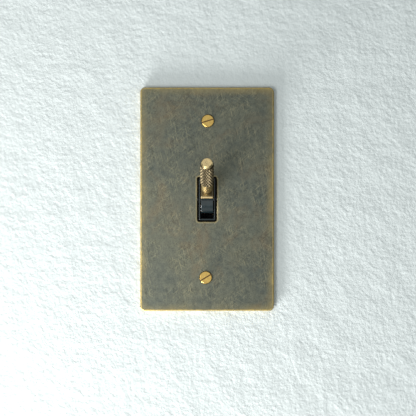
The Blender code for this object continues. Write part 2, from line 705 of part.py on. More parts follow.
def load_terminal():
    near, far = WIRE_TAB
    half = LOAD_STRIP_HALF_HEIGHT
    outline = [(LOAD_STRIP_LEFT, -half), (STRIP_RIGHT, -half), (STRIP_RIGHT, near), (TERMINAL_OUT, near),
               (TERMINAL_OUT, far), (LOAD_LEG_LEFT, far), (LOAD_LEG_LEFT, half), (LOAD_STRIP_LEFT, half)]
    strip = sheet("load_terminal", outline, TERMINAL_TOP, TERMINAL_THICKNESS)
    wire_tab(strip, 1)
    base, half = TERMINAL_TOP + OVER, FULCRUM_HALF_HEIGHT
    join(strip, side_slab("fulcrum", [(base, -half), (FULCRUM_TOP, 0), (base, half)], SEESAW_HALF_WIDTH))
    half = CHEEK_HALF_HEIGHT
    for side, end in ((1, "right"), (-1, "left")):
        low, high = sorted(side * x for x in CHEEK_X)
        join(strip, box(f"cheek_{end}", (low, CHEEK_FRONT, -half), (high, base, half)))
    finish(strip, "polished_brass")


def wire_tab(strip, side):
    """Joins the upright tab outside the housing to a terminal, with the hole for its screw."""
    low, high = sorted(side * z for z in WIRE_TAB)
    inner = TERMINAL_OUT - TERMINAL_THICKNESS
    name = strip.name
    join(strip, box(f"{name}_tab", (inner, TERMINAL_TAB_FRONT, low), (TERMINAL_OUT, TERMINAL_BACK, high)))
    z = side * WIRE_Z
    cut(strip, rod(f"{name}_hole", CLAMP_HOLE, (inner - OVER, WIRE_Y, z), (TERMINAL_OUT + OVER, WIRE_Y, z)))


def wire_clamps():
    half = CLAMP_SIDE / 2
    inner = TERMINAL_OUT + GAP
    outer = inner + CLAMP_THICKNESS
    for side, end in ((1, "load"), (-1, "line")):
        z = side * WIRE_Z
        clamp = box(f"{end}_clamp_plate", (inner, WIRE_Y - half, z - half), (outer, WIRE_Y + half, z + half))
        cut(clamp, rod(f"{end}_clamp_hole", CLAMP_HOLE, (inner - OVER, WIRE_Y, z), (outer + OVER, WIRE_Y, z)))
        finish(clamp, "zinc_steel")
        screw = slotted_screw(f"{end}_terminal_screw", WIRE_HEAD_RADIUS, WIRE_HEAD_HEIGHT,
                              WIRE_SHANK_RADIUS, WIRE_SHANK_LENGTH, "polished_brass")
        screw.location = (outer + GAP, WIRE_Y, z)
        screw.rotation_euler = (0, radians(90), 0)


def main():
    wall_plate()
    plate_screws()
    screw_retainers()
    mounting_strap()
    ground_screw()
    case_rivets()
    front_cover()
    rear_housing()
    lever_axis = axis_empty("lever_axis", PIVOT_Y, pi / 2 - LEVER_TILT)
    lever(lever_axis)
    plunger(lever_axis)
    plunger_spring(lever_axis)
    stops()
    contact_axis = axis_empty("contact_axis", SEESAW_Y, SEESAW_TILT)
    contact_seesaw(contact_axis)
    line_terminal()
    load_terminal()
    wire_clamps()


main()
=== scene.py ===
"""The looks of the toggle wall switch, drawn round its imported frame.

Metres, +Z up, +X right as seen from the room, +Y into the wall. The cover plate's back lies in the
plane Y = 0. The lever's pieces are drawn along their own Z, outwards from the pivot.
"""

import json
from math import asin, atan2, cos, pi, radians, sin, tan

import bmesh
import bpy
from mathutils import Matrix, Vector


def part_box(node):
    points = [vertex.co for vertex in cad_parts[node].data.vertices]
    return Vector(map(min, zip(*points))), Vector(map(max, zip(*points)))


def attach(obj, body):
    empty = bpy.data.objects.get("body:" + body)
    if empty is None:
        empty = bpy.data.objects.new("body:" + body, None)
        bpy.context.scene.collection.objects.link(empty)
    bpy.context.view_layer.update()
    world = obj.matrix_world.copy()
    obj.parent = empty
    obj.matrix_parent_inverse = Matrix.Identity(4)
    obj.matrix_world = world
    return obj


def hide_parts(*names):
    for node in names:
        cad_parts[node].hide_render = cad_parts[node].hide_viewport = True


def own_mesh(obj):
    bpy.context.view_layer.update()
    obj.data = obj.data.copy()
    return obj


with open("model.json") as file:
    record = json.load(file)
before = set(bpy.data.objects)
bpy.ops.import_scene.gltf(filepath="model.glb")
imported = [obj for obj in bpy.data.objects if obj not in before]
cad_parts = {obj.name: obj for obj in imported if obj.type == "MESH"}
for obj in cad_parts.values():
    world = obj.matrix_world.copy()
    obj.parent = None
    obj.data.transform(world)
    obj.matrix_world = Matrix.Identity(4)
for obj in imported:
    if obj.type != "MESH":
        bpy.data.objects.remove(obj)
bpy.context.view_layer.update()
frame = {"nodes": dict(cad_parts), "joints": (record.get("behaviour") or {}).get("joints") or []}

X, Y, Z = 0, 1, 2
GAP = 0.0003  # what the frame leaves between pieces that touch
OVER = 0.0005  # how far a cutter runs past what it cuts

# Cover plate, its opening, and the collar and slot inside the opening
PLATE_CORNER = 0.0025
OPENING = (0.0103, 0.0238)
OPENING_CORNER = 0.0012
COLLAR_FRONT = -0.0023
SLOT = (0.0071, 0.0204)
SLOT_CORNER = 0.0008

# Lever: heights are along it, from the pivot
NECK_RADIUS = 0.00295
KNURL_RADIUS = 0.00365
KNURL_BOTTOM = 0.0190
KNURL_TOP = 0.0371
KNURL_STARTS = 16
KNURL_PITCH = 0.0031
KNURL_DEPTH = 0.00042
KNURL_SHOULDER = 0.0004
GRIP_BOTTOM = 0.0113
GRIP_BORE = (0.0018, 0.0173)
CAP_TOP = 0.0390
BARREL_RADIUS = 0.0093
BARREL_HALF_ANGLE = radians(80)
BARREL_HALF_WIDTH = 0.00325
HUB_RADIUS = 0.0032
FOOT_HALF_LENGTH = 0.00475
FOOT_SEAT = 0.0092
FOOT_BOTTOM = FOOT_SEAT + GAP
FOOT_TOP = 0.0110
PIN_RADIUS = 0.00125

# Fasteners and terminals behind the plate
SCREW_PITCH = 0.00079
BOX_PITCH = 0.0833
STRAP_SHEET = 0.0012
RIVET_HOLE = 0.00155
CLAMP_HOLE = 0.0019
GROUND_SCREW = (0.0068, -0.0317)  # y and z
WIRE_Y = 0.0130
WIRE_Z = 0.0130
WIRE_TAB = (0.0095, 0.0165)
STRIP_BACK = 0.0204
STRIP_SHEET = 0.0010


def joint(name):
    return next(j for j in frame["joints"] if j["name"] == name)


def lever_matrix():
    """The lever's own frame at rest: origin on the pivot, Z outwards along the lever, X along the pin."""
    along = Vector(joint("plunger_slide")["axis"]).normalized()
    across = Vector((1, 0, 0))
    turn = Matrix((across, along.cross(across), along)).transposed()
    return Matrix.Translation(joint("lever_tilt")["pos_m"]) @ turn.to_4x4()


LEVER = lever_matrix()


def centre_of(node):
    """The (x, z) middle of a CAD node's box."""
    low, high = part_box(node)
    return (low[X] + high[X]) / 2, (low[Z] + high[Z]) / 2


def rotation(degrees, axis):
    return Matrix.Rotation(radians(degrees), 4, axis)


def move(x, y, z):
    return Matrix.Translation((x, y, z))


def evenly(radius, top, bottom, rows):
    """The points of a straight stretch of a turned profile."""
    return [(radius, top + (bottom - top) * i / rows) for i in range(rows + 1)]


# Mesh helpers

def shade(obj):
    """Smooth between sharp edges, with flat faces kept flat beside rounded edges."""
    obj.data.shade_smooth()
    obj.data.set_sharp_from_angle(angle=radians(32))
    weighted = obj.modifiers.new("Weighted", "WEIGHTED_NORMAL")
    weighted.keep_sharp = True
    return obj


def drawn_mesh(obj):
    """The object's mesh after its modifiers, and a bmesh of it with doubles welded and the triangles of
    flat faces merged, so that their normals are even."""
    bpy.context.view_layer.update()
    evaluated = obj.evaluated_get(bpy.context.evaluated_depsgraph_get())
    mesh = bpy.data.meshes.new_from_object(evaluated)
    bm = bmesh.new()
    bm.from_mesh(mesh)
    bmesh.ops.remove_doubles(bm, verts=bm.verts, dist=1e-7)
    bmesh.ops.dissolve_degenerate(bm, edges=bm.edges, dist=1e-7)
    bmesh.ops.dissolve_limit(bm, angle_limit=radians(0.3), verts=bm.verts, edges=bm.edges,
                             delimit={"MATERIAL"})
    return mesh, bm


def add_mesh(name, bm, matrix=None):
    mesh = bpy.data.meshes.new(name)
    bm.to_mesh(mesh)
    bm.free()
    obj = bpy.data.objects.new(name, mesh)
    bpy.context.scene.collection.objects.link(obj)
    if matrix is not None:
        obj.matrix_world = matrix
    return shade(obj)


def rings_to_mesh(rings, closed=True):
    """Quads between rings of points that run the same way round. A ring of one point is a tip."""
    bm = bmesh.new()
    rows = [[bm.verts.new(point) for point in ring] for ring in rings]
    pairs = list(zip(rows, rows[1:])) + ([(rows[-1], rows[0])] if not closed else [])
    for upper, lower in pairs:
        count = max(len(upper), len(lower))
        for i in range(count):
            j = (i + 1) % count
            corners = [upper[i % len(upper)], lower[i % len(lower)],
                       lower[j % len(lower)], upper[j % len(upper)]]
            corners = [v for k, v in enumerate(corners) if v is not corners[k - 1]]
            bm.faces.new(corners)
    return bm


def turned(name, profile, steps=64, shape=None, matrix=None):
    """A closed body turned round Z. The profile's (radius, height) points run from the top of the axis
    down the outside and back to the axis. shape(radius, height, angle) may change a radius."""
    rings = []
    for radius, height in profile:
        if radius == 0:
            rings.append([(0, 0, height)])
            continue
        ring = []
        for i in range(steps):
            angle = 2 * pi * i / steps
            r = shape(radius, height, angle) if shape else radius
            ring.append((r * cos(angle), r * sin(angle), height))
        rings.append(ring)
    return add_mesh(name, rings_to_mesh(rings), matrix)


def arc(radius, first, last, steps, centre=(0, 0)):
    """Points on a circle, at angles measured from the second axis towards the first."""
    angles = [first + (last - first) * i / steps for i in range(steps + 1)]
    return [(centre[0] + radius * sin(a), centre[1] + radius * cos(a)) for a in angles]


def rounded_rectangle(width, height, corner, steps=8, centre=(0, 0)):
    """Points clockwise round a rectangle with round corners."""
    across, up = width / 2 - corner, height / 2 - corner
    points = []
    for turn, (x, z) in enumerate(((across, up), (across, -up), (-across, -up), (-across, up))):
        points += arc(corner, turn * pi / 2, (turn + 1) * pi / 2, steps, (centre[0] + x, centre[1] + z))
    return points


def rounded(points, radii, steps=5):
    """The polygon's points with its corners rounded, by one radius or by one for each corner."""
    outline = []
    for i, point in enumerate(points):
        radius = radii[i] if isinstance(radii, list) else radii
        corner, before, after = Vector(point), Vector(points[i - 1]), Vector(points[(i + 1) % len(points)])
        if radius == 0:
            outline.append(point)
            continue
        back, on = (before - corner).normalized(), (after - corner).normalized()
        half = back.angle(on) / 2
        centre = corner + (back + on).normalized() * (radius / sin(half))
        start, end = ((corner + way * (radius / tan(half)) - centre).normalized() for way in (back, on))
        outline += [tuple(centre + radius * start.slerp(end, k / steps)) for k in range(steps + 1)]
    return outline


def frame_ring(size, corner, inset, depth):
    """One ring of a frame: the rounded rectangle, shrunk by the inset, at a depth along Y."""
    shrunk = rounded_rectangle(size[0] - 2 * inset, size[1] - 2 * inset, max(corner - inset, 1e-5))
    return [(x, depth, z) for x, z in shrunk]


def box(name, low, high, edge=0, segments=3, matrix=None):
    """A box with all its edges rounded."""
    low, high = Vector(low), Vector(high)
    bm = bmesh.new()
    bmesh.ops.create_cube(bm, size=1)
    place = Matrix.Translation((low + high) / 2) @ Matrix.Diagonal((*(high - low), 1))
    bmesh.ops.transform(bm, matrix=place, verts=bm.verts)
    if edge:
        bmesh.ops.bevel(bm, geom=bm.edges[:], offset=edge, segments=segments, profile=0.5, affect="EDGES")
    return add_mesh(name, bm, matrix)


def rod(name, radius, start, end, sides=48):
    start, end = Vector(start), Vector(end)
    bm = bmesh.new()
    bmesh.ops.create_cone(
        bm, cap_ends=True, segments=sides, radius1=radius, radius2=radius, depth=(end - start).length)
    turn = Vector((0, 0, 1)).rotation_difference(end - start).to_matrix().to_4x4()
    bmesh.ops.transform(bm, matrix=Matrix.Translation((start + end) / 2) @ turn, verts=bm.verts)
    return add_mesh(name, bm)


def facing(depth):
    """Places a flat drawing in the XZ plane at a depth, with its thickness towards the room."""
    return move(0, depth, 0) @ rotation(90, "X")


def sideways(x):
    """Places a flat drawing in the YZ plane, with its thickness towards +X from x."""
    return Matrix(((0, 0, 1, x), (1, 0, 0, 0), (0, 1, 0, 0), (0, 0, 0, 1)))


def flat_piece(name, outlines, edge, thickness, place, matrix=None):
    """A flat piece with round edges, drawn between outlines in an XY plane and put in place. It is
    `thickness` thick from Z = 0 up. The first outline is the outer one and the others are holes."""
    curve = bpy.data.curves.new(name, "CURVE")
    curve.dimensions = "2D"
    curve.fill_mode = "BOTH"
    curve.extrude = thickness / 2 - edge
    curve.bevel_depth = edge
    curve.bevel_resolution = 2
    curve.offset = -edge
    for outline in outlines:
        spline = curve.splines.new("POLY")
        spline.points.add(len(outline) - 1)
        for point, (across, up) in zip(spline.points, outline):
            point.co = (across, up, 0, 1)
        spline.use_cyclic_u = True
    drawn = bpy.data.objects.new(name, curve)
    bpy.context.scene.collection.objects.link(drawn)
    mesh, bm = drawn_mesh(drawn)
    bpy.data.objects.remove(drawn, do_unlink=True)
    bmesh.ops.transform(bm, matrix=place @ move(0, 0, thickness / 2), verts=bm.verts)
    bmesh.ops.recalc_face_normals(bm, faces=bm.faces)
    bpy.data.meshes.remove(mesh)
    return add_mesh(name, bm, matrix)


def circle(radius, centre=(0, 0), steps=48):
    return arc(radius, 0, 2 * pi * (steps - 1) / steps, steps - 1, centre)


def combine(target, operation, *tools):
    """Cuts the tools from the target or joins them to it, and removes them."""
    for tool in tools:
        boolean = target.modifiers.new("Combine", "BOOLEAN")
        boolean.operation = operation
        boolean.object = tool
        boolean.material_mode = "TRANSFER"
    target.modifiers.remove(target.modifiers["Weighted"])
    mesh, bm = drawn_mesh(target)
    bm.to_mesh(mesh)
    bm.free()
    target.modifiers.clear()
    target.data = mesh
    for tool in tools:
        bpy.data.objects.remove(tool, do_unlink=True)
    return shade(target)


def cut(target, *tools):
    return combine(target, "DIFFERENCE", *tools)


def join(target, *tools):
    return combine(target, "UNION", *tools)


# Material helpers

def srgb(red, green, blue):
    """A colour given by its 8-bit display values."""
    shares = [value / 255 for value in (red, green, blue)]
    linear = [v / 12.92 if v <= 10 / 255 else ((v + 0.055) / 1.055) ** 2.4 for v in shares]
    return (*linear, 1)


class Finish:
    """A material being built. Its methods add nodes and return their outputs."""

    def __init__(self, name, roughness=0.5, metallic=0.0):
        self.material = bpy.data.materials.new(name)
        self.material.use_nodes = True
        self.tree = self.material.node_tree
        self.shader = self.tree.nodes["Principled BSDF"]
        self.shader.inputs["Metallic"].default_value = metallic
        self.shader.inputs["Roughness"].default_value = roughness
        self.place = self.add("ShaderNodeTexCoord").outputs["Object"]

    def add(self, kind, inputs=None, **settings):
        node = self.tree.nodes.new(kind)
        for name, value in settings.items():
            setattr(node, name, value)
        for name, value in (inputs or {}).items():
            self.feed(node.inputs[name], value)
        return node

    def feed(self, socket, value):
        if isinstance(value, bpy.types.NodeSocket):
            self.tree.links.new(value, socket)
        else:
            socket.default_value = value

    def set(self, name, value):
        self.feed(self.shader.inputs[name], value)

    def noise(self, scale, detail=3, roughness=0.5, place=None, distortion=0):
        return self.add("ShaderNodeTexNoise", {
            "Vector": place or self.place, "Scale": scale, "Detail": detail,
            "Roughness": roughness, "Distortion": distortion}).outputs[0]

    def streaks(self, angle, across, along, detail=2):
        """Noise drawn out into lines that lean `angle` from upright in the XZ plane. The last two are
        how often it changes across and along a line, per metre."""
        turned_place = self.add("ShaderNodeMapping", {
            "Vector": self.place, "Rotation": (0, angle, 0)}).outputs[0]
        drawn = self.add("ShaderNodeMapping", {
            "Vector": turned_place, "Scale": (across, across, along)}).outputs[0]
        return self.noise(1, detail, 0.55, drawn)

    def math(self, operation, a, b=0.0):
        return self.add("ShaderNodeMath", {0: a, 1: b}, operation=operation).outputs[0]

    def times(self, a, b):
        return self.math("MULTIPLY", a, b)

    def plus(self, a, b):
        return self.math("ADD", a, b)

    def minus(self, a, b):
        return self.math("SUBTRACT", a, b)

    def ramp(self, value, low, high, to_low=0.0, to_high=1.0):
        """The value mapped from low..high, clamped."""
        return self.add("ShaderNodeMapRange", {
            "Value": value, "From Min": low, "From Max": high,
            "To Min": to_low, "To Max": to_high}).outputs[0]

    def mix(self, factor, a, b, blend="MIX"):
        node = self.add("ShaderNodeMix", data_type="RGBA", blend_type=blend)
        for socket, value in zip((node.inputs[0], node.inputs[6], node.inputs[7]), (factor, a, b)):
            self.feed(socket, value)
        return node.outputs[2]

    def xyz(self):
        return self.add("ShaderNodeSeparateXYZ", {0: self.place}).outputs[:3]

    def bump(self, *layers):
        """Bump from (height, depth in metres) layers, put on the shader's normal."""
        normal = None
        for height, depth in layers:
            inputs = {"Height": height, "Distance": depth, "Strength": 1.0}
            if normal is not None:
                inputs["Normal"] = normal
            normal = self.add("ShaderNodeBump", inputs).outputs[0]
        self.set("Normal", normal)

    def length(self, a, b):
        """The length of the vector (a, b)."""
        squares = [self.times(side, side) for side in (a, b)]
        return self.math("SQRT", self.plus(*squares))

    def radius(self):
        """Distance from the object's own Z axis."""
        return self.length(*self.xyz()[:2])

    def lathe_marks(self):
        """Bump layers for the fine rings and lines that a lathe leaves."""
        rings = self.math("SINE", self.times(self.radius(), 42000.0))
        lines = self.math("SINE", self.times(self.xyz()[Z], 36000.0))
        return (rings, 0.0000014), (lines, 0.000001)

    def corner_distance(self, size, corner):
        """Distance in the XZ plane from a rounded rectangle's outline, out to `corner` inside it."""
        x, _, z = self.xyz()
        past = []
        for value, side in ((x, size[0]), (z, size[1])):
            beyond = self.minus(self.math("ABSOLUTE", value), side / 2 - corner)
            past.append(self.math("MAXIMUM", beyond, 0.0))
        return self.minus(self.length(*past), corner)


def plate_size():
    low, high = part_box("wall_plate")
    return (high[X] - low[X], high[Z] - low[Z])


def patina_brass():
    """Brass darkened to grey olive, with cloudy patina, fine scratches and edges worn to gold."""
    f = Finish("patina_brass", metallic=1.0)
    cloud = f.ramp(f.noise(30, 3, 0.6, distortion=0.8), 0.36, 0.64)
    colour = f.mix(cloud, srgb(82, 86, 81), srgb(98, 98, 86))
    for scale, colour_of_patch, amount in ((40, (116, 94, 70), 0.50), (52, (66, 82, 84), 0.22)):
        patch = f.ramp(f.noise(scale, 4, 0.62, distortion=1.0), 0.50, 0.68, 0, amount)
        colour = f.mix(patch, colour, srgb(*colour_of_patch))
    mottle = f.noise(360, 5, 0.72)
    grain = f.noise(1700, 3, 0.7)
    colour = f.mix(f.ramp(mottle, 0.38, 0.64, 0, 0.45), colour, srgb(120, 121, 106))
    colour = f.mix(f.ramp(grain, 0.5, 0.70, 0, 0.60), colour, srgb(58, 62, 56))
    heights = []
    scratches = ((12, 3000, 150, 0.32), (-24, 3200, 170, 0.30), (-48, 3100, 180, 0.28),
                 (58, 2900, 180, 0.20), (84, 3200, 190, 0.14))
    for degrees, across, along, amount in scratches:
        line = f.streaks(radians(degrees), across, along)
        patch = f.ramp(f.noise(70 + across / 80, 2), 0.38, 0.56)
        for low, high, tint in ((0.60, 0.68, (166, 158, 126)), (0.40, 0.33, (38, 37, 31))):
            seen = f.times(f.ramp(line, low, high, 0, amount), patch)
            colour = f.mix(seen, colour, srgb(*tint))
        heights.append((line, 0.00003))

    chipped = f.times(f.minus(f.noise(600, 4, 0.7), 0.5), 0.0011)
    rim = f.plus(f.corner_distance(plate_size(), PLATE_CORNER), chipped)
    mouth = f.plus(f.corner_distance(OPENING, OPENING_CORNER), chipped)
    glow = f.plus(f.corner_distance(plate_size(), 0.006), f.times(chipped, 2.0))
    patchy = f.ramp(f.noise(42, 3, 0.6), 0.36, 0.62, 0.12, 0.62)
    colour = f.mix(f.times(patchy, f.ramp(glow, -0.0045, -0.0002)), colour, srgb(152, 136, 92))
    worn = f.ramp(rim, -0.0009, -0.0002)
    lip = f.ramp(mouth, 0.0011, 0.0006)
    colour = f.mix(f.times(worn, 0.85), colour, srgb(196, 168, 96))
    colour = f.mix(f.times(lip, 0.7), colour, srgb(150, 138, 104))
    f.set("Base Color", colour)
    rough = f.ramp(mottle, 0.3, 0.7, 0.40, 0.54)
    f.set("Roughness", f.minus(rough, f.times(worn, 0.10)))
    f.bump((mottle, 0.00005), *heights[:3], (grain, 0.000012))
    return f.material


def metal(name, colour, tarnish, roughness, amount=0.5, lathe=False):
    """Bare metal with patches of tarnish, spots and fine scratches, and turning marks if it was turned."""
    f = Finish(name, metallic=1.0)
    smear = f.noise(260, 4, 0.65, distortion=0.8)
    spots = f.noise(1500, 3, 0.7)
    base = f.mix(f.ramp(smear, 0.38, 0.72, 0, amount), srgb(*colour), srgb(*tarnish))
    base = f.mix(f.ramp(spots, 0.62, 0.8, 0, 0.4), base, srgb(*tarnish))
    f.set("Base Color", base)
    f.set("Roughness", f.ramp(spots, 0.3, 0.7, roughness, roughness + 0.13))
    layers = [(smear, 0.00004), (spots, 0.000008)]
    if lathe:
        layers += f.lathe_marks()
    else:
        for degrees, across, along in ((35, 3000, 90), (-50, 2600, 80)):
            layers.append((f.streaks(radians(degrees), across, along), 0.000012))
    f.bump(*layers)
    return f.material


def zinc():
    """Zinc plated steel with faint crystals in its plating and white dust of corrosion."""
    f = Finish("zinc_steel", metallic=1.0)
    spangle = f.add("ShaderNodeTexVoronoi", {"Vector": f.place, "Scale": 420}).outputs["Color"]
    grey = f.add("ShaderNodeRGBToBW", {0: spangle}).outputs[0]
    dust = f.ramp(f.noise(190, 5, 0.7), 0.55, 0.75, 0, 0.6)
    base = f.mix(grey, srgb(160, 163, 162), srgb(186, 188, 184))
    f.set("Base Color", f.mix(dust, base, srgb(176, 174, 160)))
    f.set("Roughness", f.plus(f.ramp(grey, 0, 1, 0.26, 0.38), f.times(dust, 0.2)))
    f.bump((f.noise(900, 4, 0.6), 0.00002), (f.streaks(radians(20), 2600, 80), 0.00001))
    return f.material


def dull(name, colour, other, roughness, scale, depth, fibres=False):
    """Fibre board, rubber or nylon: two close colours, specks, and a surface grain."""
    f = Finish(name)
    cloud = f.noise(scale, 5, 0.65)
    specks = f.noise(9 * scale, 3, 0.7)
    base = f.mix(f.ramp(cloud, 0.35, 0.65), srgb(*colour), srgb(*other))
    darker = tuple(0.6 * v for v in colour)
    f.set("Base Color", f.mix(f.ramp(specks, 0.58, 0.75, 0, 0.6), base, srgb(*darker)))
    f.set("Roughness", f.ramp(specks, 0.3, 0.7, roughness, roughness + 0.15))
    layers = [(specks, depth), (cloud, depth)]
    if fibres:
        layers.append((f.streaks(radians(70), 3600, 300), 2 * depth))
    f.bump(*layers)
    return f.material


def knurled_brass():
    """Brass with dark patina in the knurl's grooves and gold on its points."""
    f = Finish("knurled_brass", metallic=1.0)
    raised = f.ramp(f.radius(), KNURL_RADIUS - 1.3 * KNURL_DEPTH, KNURL_RADIUS)
    z = f.xyz()[Z]
    polished = f.math("MAXIMUM", f.math("LESS_THAN", z, KNURL_BOTTOM + KNURL_SHOULDER / 2),
                      f.math("GREATER_THAN", z, KNURL_TOP + KNURL_SHOULDER / 2))
    smear = f.noise(300, 4, 0.65, distortion=0.8)
    spots = f.noise(1500, 3, 0.7)
    dark = f.mix(smear, srgb(30, 24, 17), srgb(46, 37, 27))
    knurl = f.mix(raised, dark, srgb(106, 96, 74))
    knurl = f.mix(f.ramp(smear, 0.55, 0.75, 0, 0.35), knurl, srgb(104, 88, 66))
    bright = f.mix(f.ramp(smear, 0.38, 0.72, 0, 0.35), srgb(224, 200, 148), srgb(184, 154, 100))
    bright = f.mix(f.ramp(spots, 0.62, 0.8, 0, 0.3), bright, srgb(150, 120, 74))
    f.set("Base Color", f.mix(polished, knurl, bright))
    f.set("Roughness", f.plus(f.ramp(spots, 0.3, 0.7, 0.22, 0.32),
                              f.times(f.minus(1.0, polished), 0.25)))
    f.bump((smear, 0.00004), *f.lathe_marks(), (spots, 0.000008))
    return f.material


def foot_brass():
    """Brass painted greyer and darker on the foot's face, as a painted dark reflection, and gold on its
    chamfers.
    """
    f = Finish("foot_brass", metallic=1.0)
    smear = f.noise(420, 4, 0.65, distortion=0.8)
    # painted dark reflection: the face's colour is greyer and darker than the brass
    face = f.mix(smear, srgb(106, 98, 82), srgb(136, 126, 104))
    # this mask is 1 on the face, where the painted dark reflection goes, and 0 on the chamfers
    worn = f.ramp(f.xyz()[Z], FOOT_TOP - 0.00012, FOOT_TOP - 0.00004)
    f.set("Base Color", f.mix(worn, f.mix(smear, srgb(232, 208, 158), srgb(212, 184, 134)), face))
    f.set("Roughness", f.ramp(smear, 0.3, 0.7, 0.28, 0.42))
    f.bump((smear, 0.00002), (f.streaks(radians(35), 3000, 90), 0.000012))
    return f.material


def painted_slot_shade():
    """Dark brown colour down in a screw's slot: painted shade of the recess."""
    f = Finish("painted_slot_shade", roughness=0.6, metallic=0.5)
    # painted shade: the slot's walls are coloured dark brown
    f.set("Base Color", f.mix(f.noise(1800, 4, 0.7), srgb(86, 64, 36), srgb(134, 102, 58)))
    f.bump((f.noise(2400, 3, 0.7), 0.00004))
    return f.material


def phenolic(name, colour, other, roughness, bump_depth, painted_shade_from=None):
    """Moulded plastic with a faint swirl, dust and a slightly wavy surface. Further in than
    `painted_shade_from` along Y its colour is painted near black, as painted shade, and it is rougher."""
    f = Finish(name)
    swirl = f.noise(110, 5, 0.6, distortion=2.0)
    dust = f.noise(2200, 3, 0.75)
    wave = f.noise(160, 2, 0.5)
    base = f.mix(f.ramp(swirl, 0.35, 0.7), srgb(*colour), srgb(*other))
    base = f.mix(f.ramp(dust, 0.66, 0.82, 0, 0.25), base, srgb(96, 94, 90))
    rough = f.ramp(f.noise(500, 3, 0.6), 0.3, 0.7, roughness, roughness + 0.12)
    if painted_shade_from is not None:
        # painted shade: deeper in, the colour goes near black and the surface rougher
        inside = f.ramp(f.xyz()[Y], painted_shade_from, painted_shade_from + 0.0004)
        base = f.mix(inside, base, srgb(4, 4, 4))
        rough = f.plus(rough, f.times(inside, 0.8))
    f.set("Base Color", base)
    f.set("Roughness", rough)
    f.shader.inputs["Specular IOR Level"].default_value = 0.55
    f.bump((wave, bump_depth), (dust, 0.000006), (f.streaks(0, 1500, 90), 0.00001))
    return f.material


# Pieces

def finished(obj, material, body, node):
    """Gives a piece its material and its body, and hides the CAD node that it stands for.
    A piece that already has its materials keeps them."""
    if not any(obj.data.materials):
        obj.data.materials.clear()
        obj.data.materials.append(material)
    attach(obj, body)
    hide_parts(node)


def cover_plate():
    """The plate, with round edges, the toggle's opening, and a shallow seat round each screw hole."""
    low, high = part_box("wall_plate")
    edge, hole, seat, seat_depth = 0.0005, 0.0021, 0.0036, 0.0005
    centres = [centre_of(f"plate_screw_{end}") for end in ("top", "bottom")]
    outer = rounded_rectangle(*plate_size(), PLATE_CORNER, 12)
    mouth = rounded_rectangle(*OPENING, OPENING_CORNER)
    holes = [circle(hole, centre) for centre in centres]
    plate = flat_piece("cover_plate", [outer, mouth, *holes], edge, high[Y] - low[Y], facing(high[Y]))
    seats = [rod("seat", seat, (x, low[Y] - OVER, z), (x, low[Y] + seat_depth, z)) for x, z in centres]
    cut(plate, *seats)
    finished(plate, patina_brass(), "base", "wall_plate")


def screw_thread(radius, depth, pitch, top, bottom):
    """A shape for turned(): a V thread on the shank, which runs out at both ends."""
    def shape(full, height, angle):
        if height > top or height < bottom or full < radius - 1e-6:
            return full
        phase = (height / pitch - angle / (2 * pi)) % 1
        crest = min(1.0, max(0.0, 1.6 * (1 - abs(2 * phase - 1)) - 0.2))
        fade = min(1.0, (top - height) / pitch, (height - bottom) / pitch)
        return full - depth * fade * (1 - crest)
    return shape


def slotted_screw(name, head, shank, pitch, slot, matrix, metal, pan=False):
    """A slotted screw along Z with its head's underside at Z = 0 and painted shade in its slot. head and
    shank are (radius, length) and slot is (width, depth)."""
    head_radius, height = head
    radius, length = shank
    edge = 0.22 * height
    if pan:
        crown = [(0, height), (0.5 * head_radius, 0.97 * height), (0.8 * head_radius, 0.86 * height),
                 *arc(0.4 * height, pi / 6, pi / 2, 4, (head_radius - 0.4 * height, 0.44 * height))]
    else:
        crown = [(0, height), (0.5 * head_radius, height), (head_radius - edge - 0.00012, height),
                 *arc(edge, 0, pi / 2, 5, (head_radius - edge, height - edge))]
    top, bottom = -0.0005, -length + 0.0006
    thread = evenly(radius, top, bottom, int(8 * (length - 0.0006) / pitch))
    profile = [*crown, (head_radius, 0.0001), (head_radius - 0.0001, 0), (radius, 0), *thread,
               (0.7 * radius, -length), (0, -length)]
    shape = screw_thread(radius, 0.26 * pitch + 0.0002, pitch, top, bottom)
    screw = turned(name, profile, 40, shape, matrix)
    reach, (width, depth) = head_radius + OVER, slot
    slit = box(f"{name}_slot", (-reach, -width / 2, height - depth), (reach, width / 2, height + OVER),
               matrix=matrix)
    screw.data.materials.append(metal)
    # the slot's cut walls take the painted shade colour
    slit.data.materials.append(slot_shade)
    return cut(screw, slit)


def cover_screws(material):
    for end, angle in (("top", 17), ("bottom", 31)):
        node = f"plate_screw_{end}"
        low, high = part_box(node)
        x, z = centre_of(node)
        head, radius = 0.0015, (high[X] - low[X]) / 2
        place = move(x, low[Y] + head, z) @ rotation(90, "X") @ rotation(angle, "Z")
        screw = slotted_screw(f"cover_screw_{end}", (radius, head), (0.0017, high[Y] - low[Y] - head),
                              SCREW_PITCH, (0.00068, 0.0006), place, material)
        finished(screw, material, "base", node)


def knurl(radius, height, angle):
    """Radius of the grip with two families of grooves that cross, which fade out at both ends."""
    if radius < KNURL_RADIUS - 1e-6 or not KNURL_BOTTOM < height < KNURL_TOP:
        return radius
    around = KNURL_STARTS * angle / (2 * pi)
    along = height / KNURL_PITCH
    groove = max(abs(2 * ((around + side * along) % 1) - 1) for side in (1, -1))
    return radius - KNURL_DEPTH * max(0.0, groove - 0.2) / 0.8


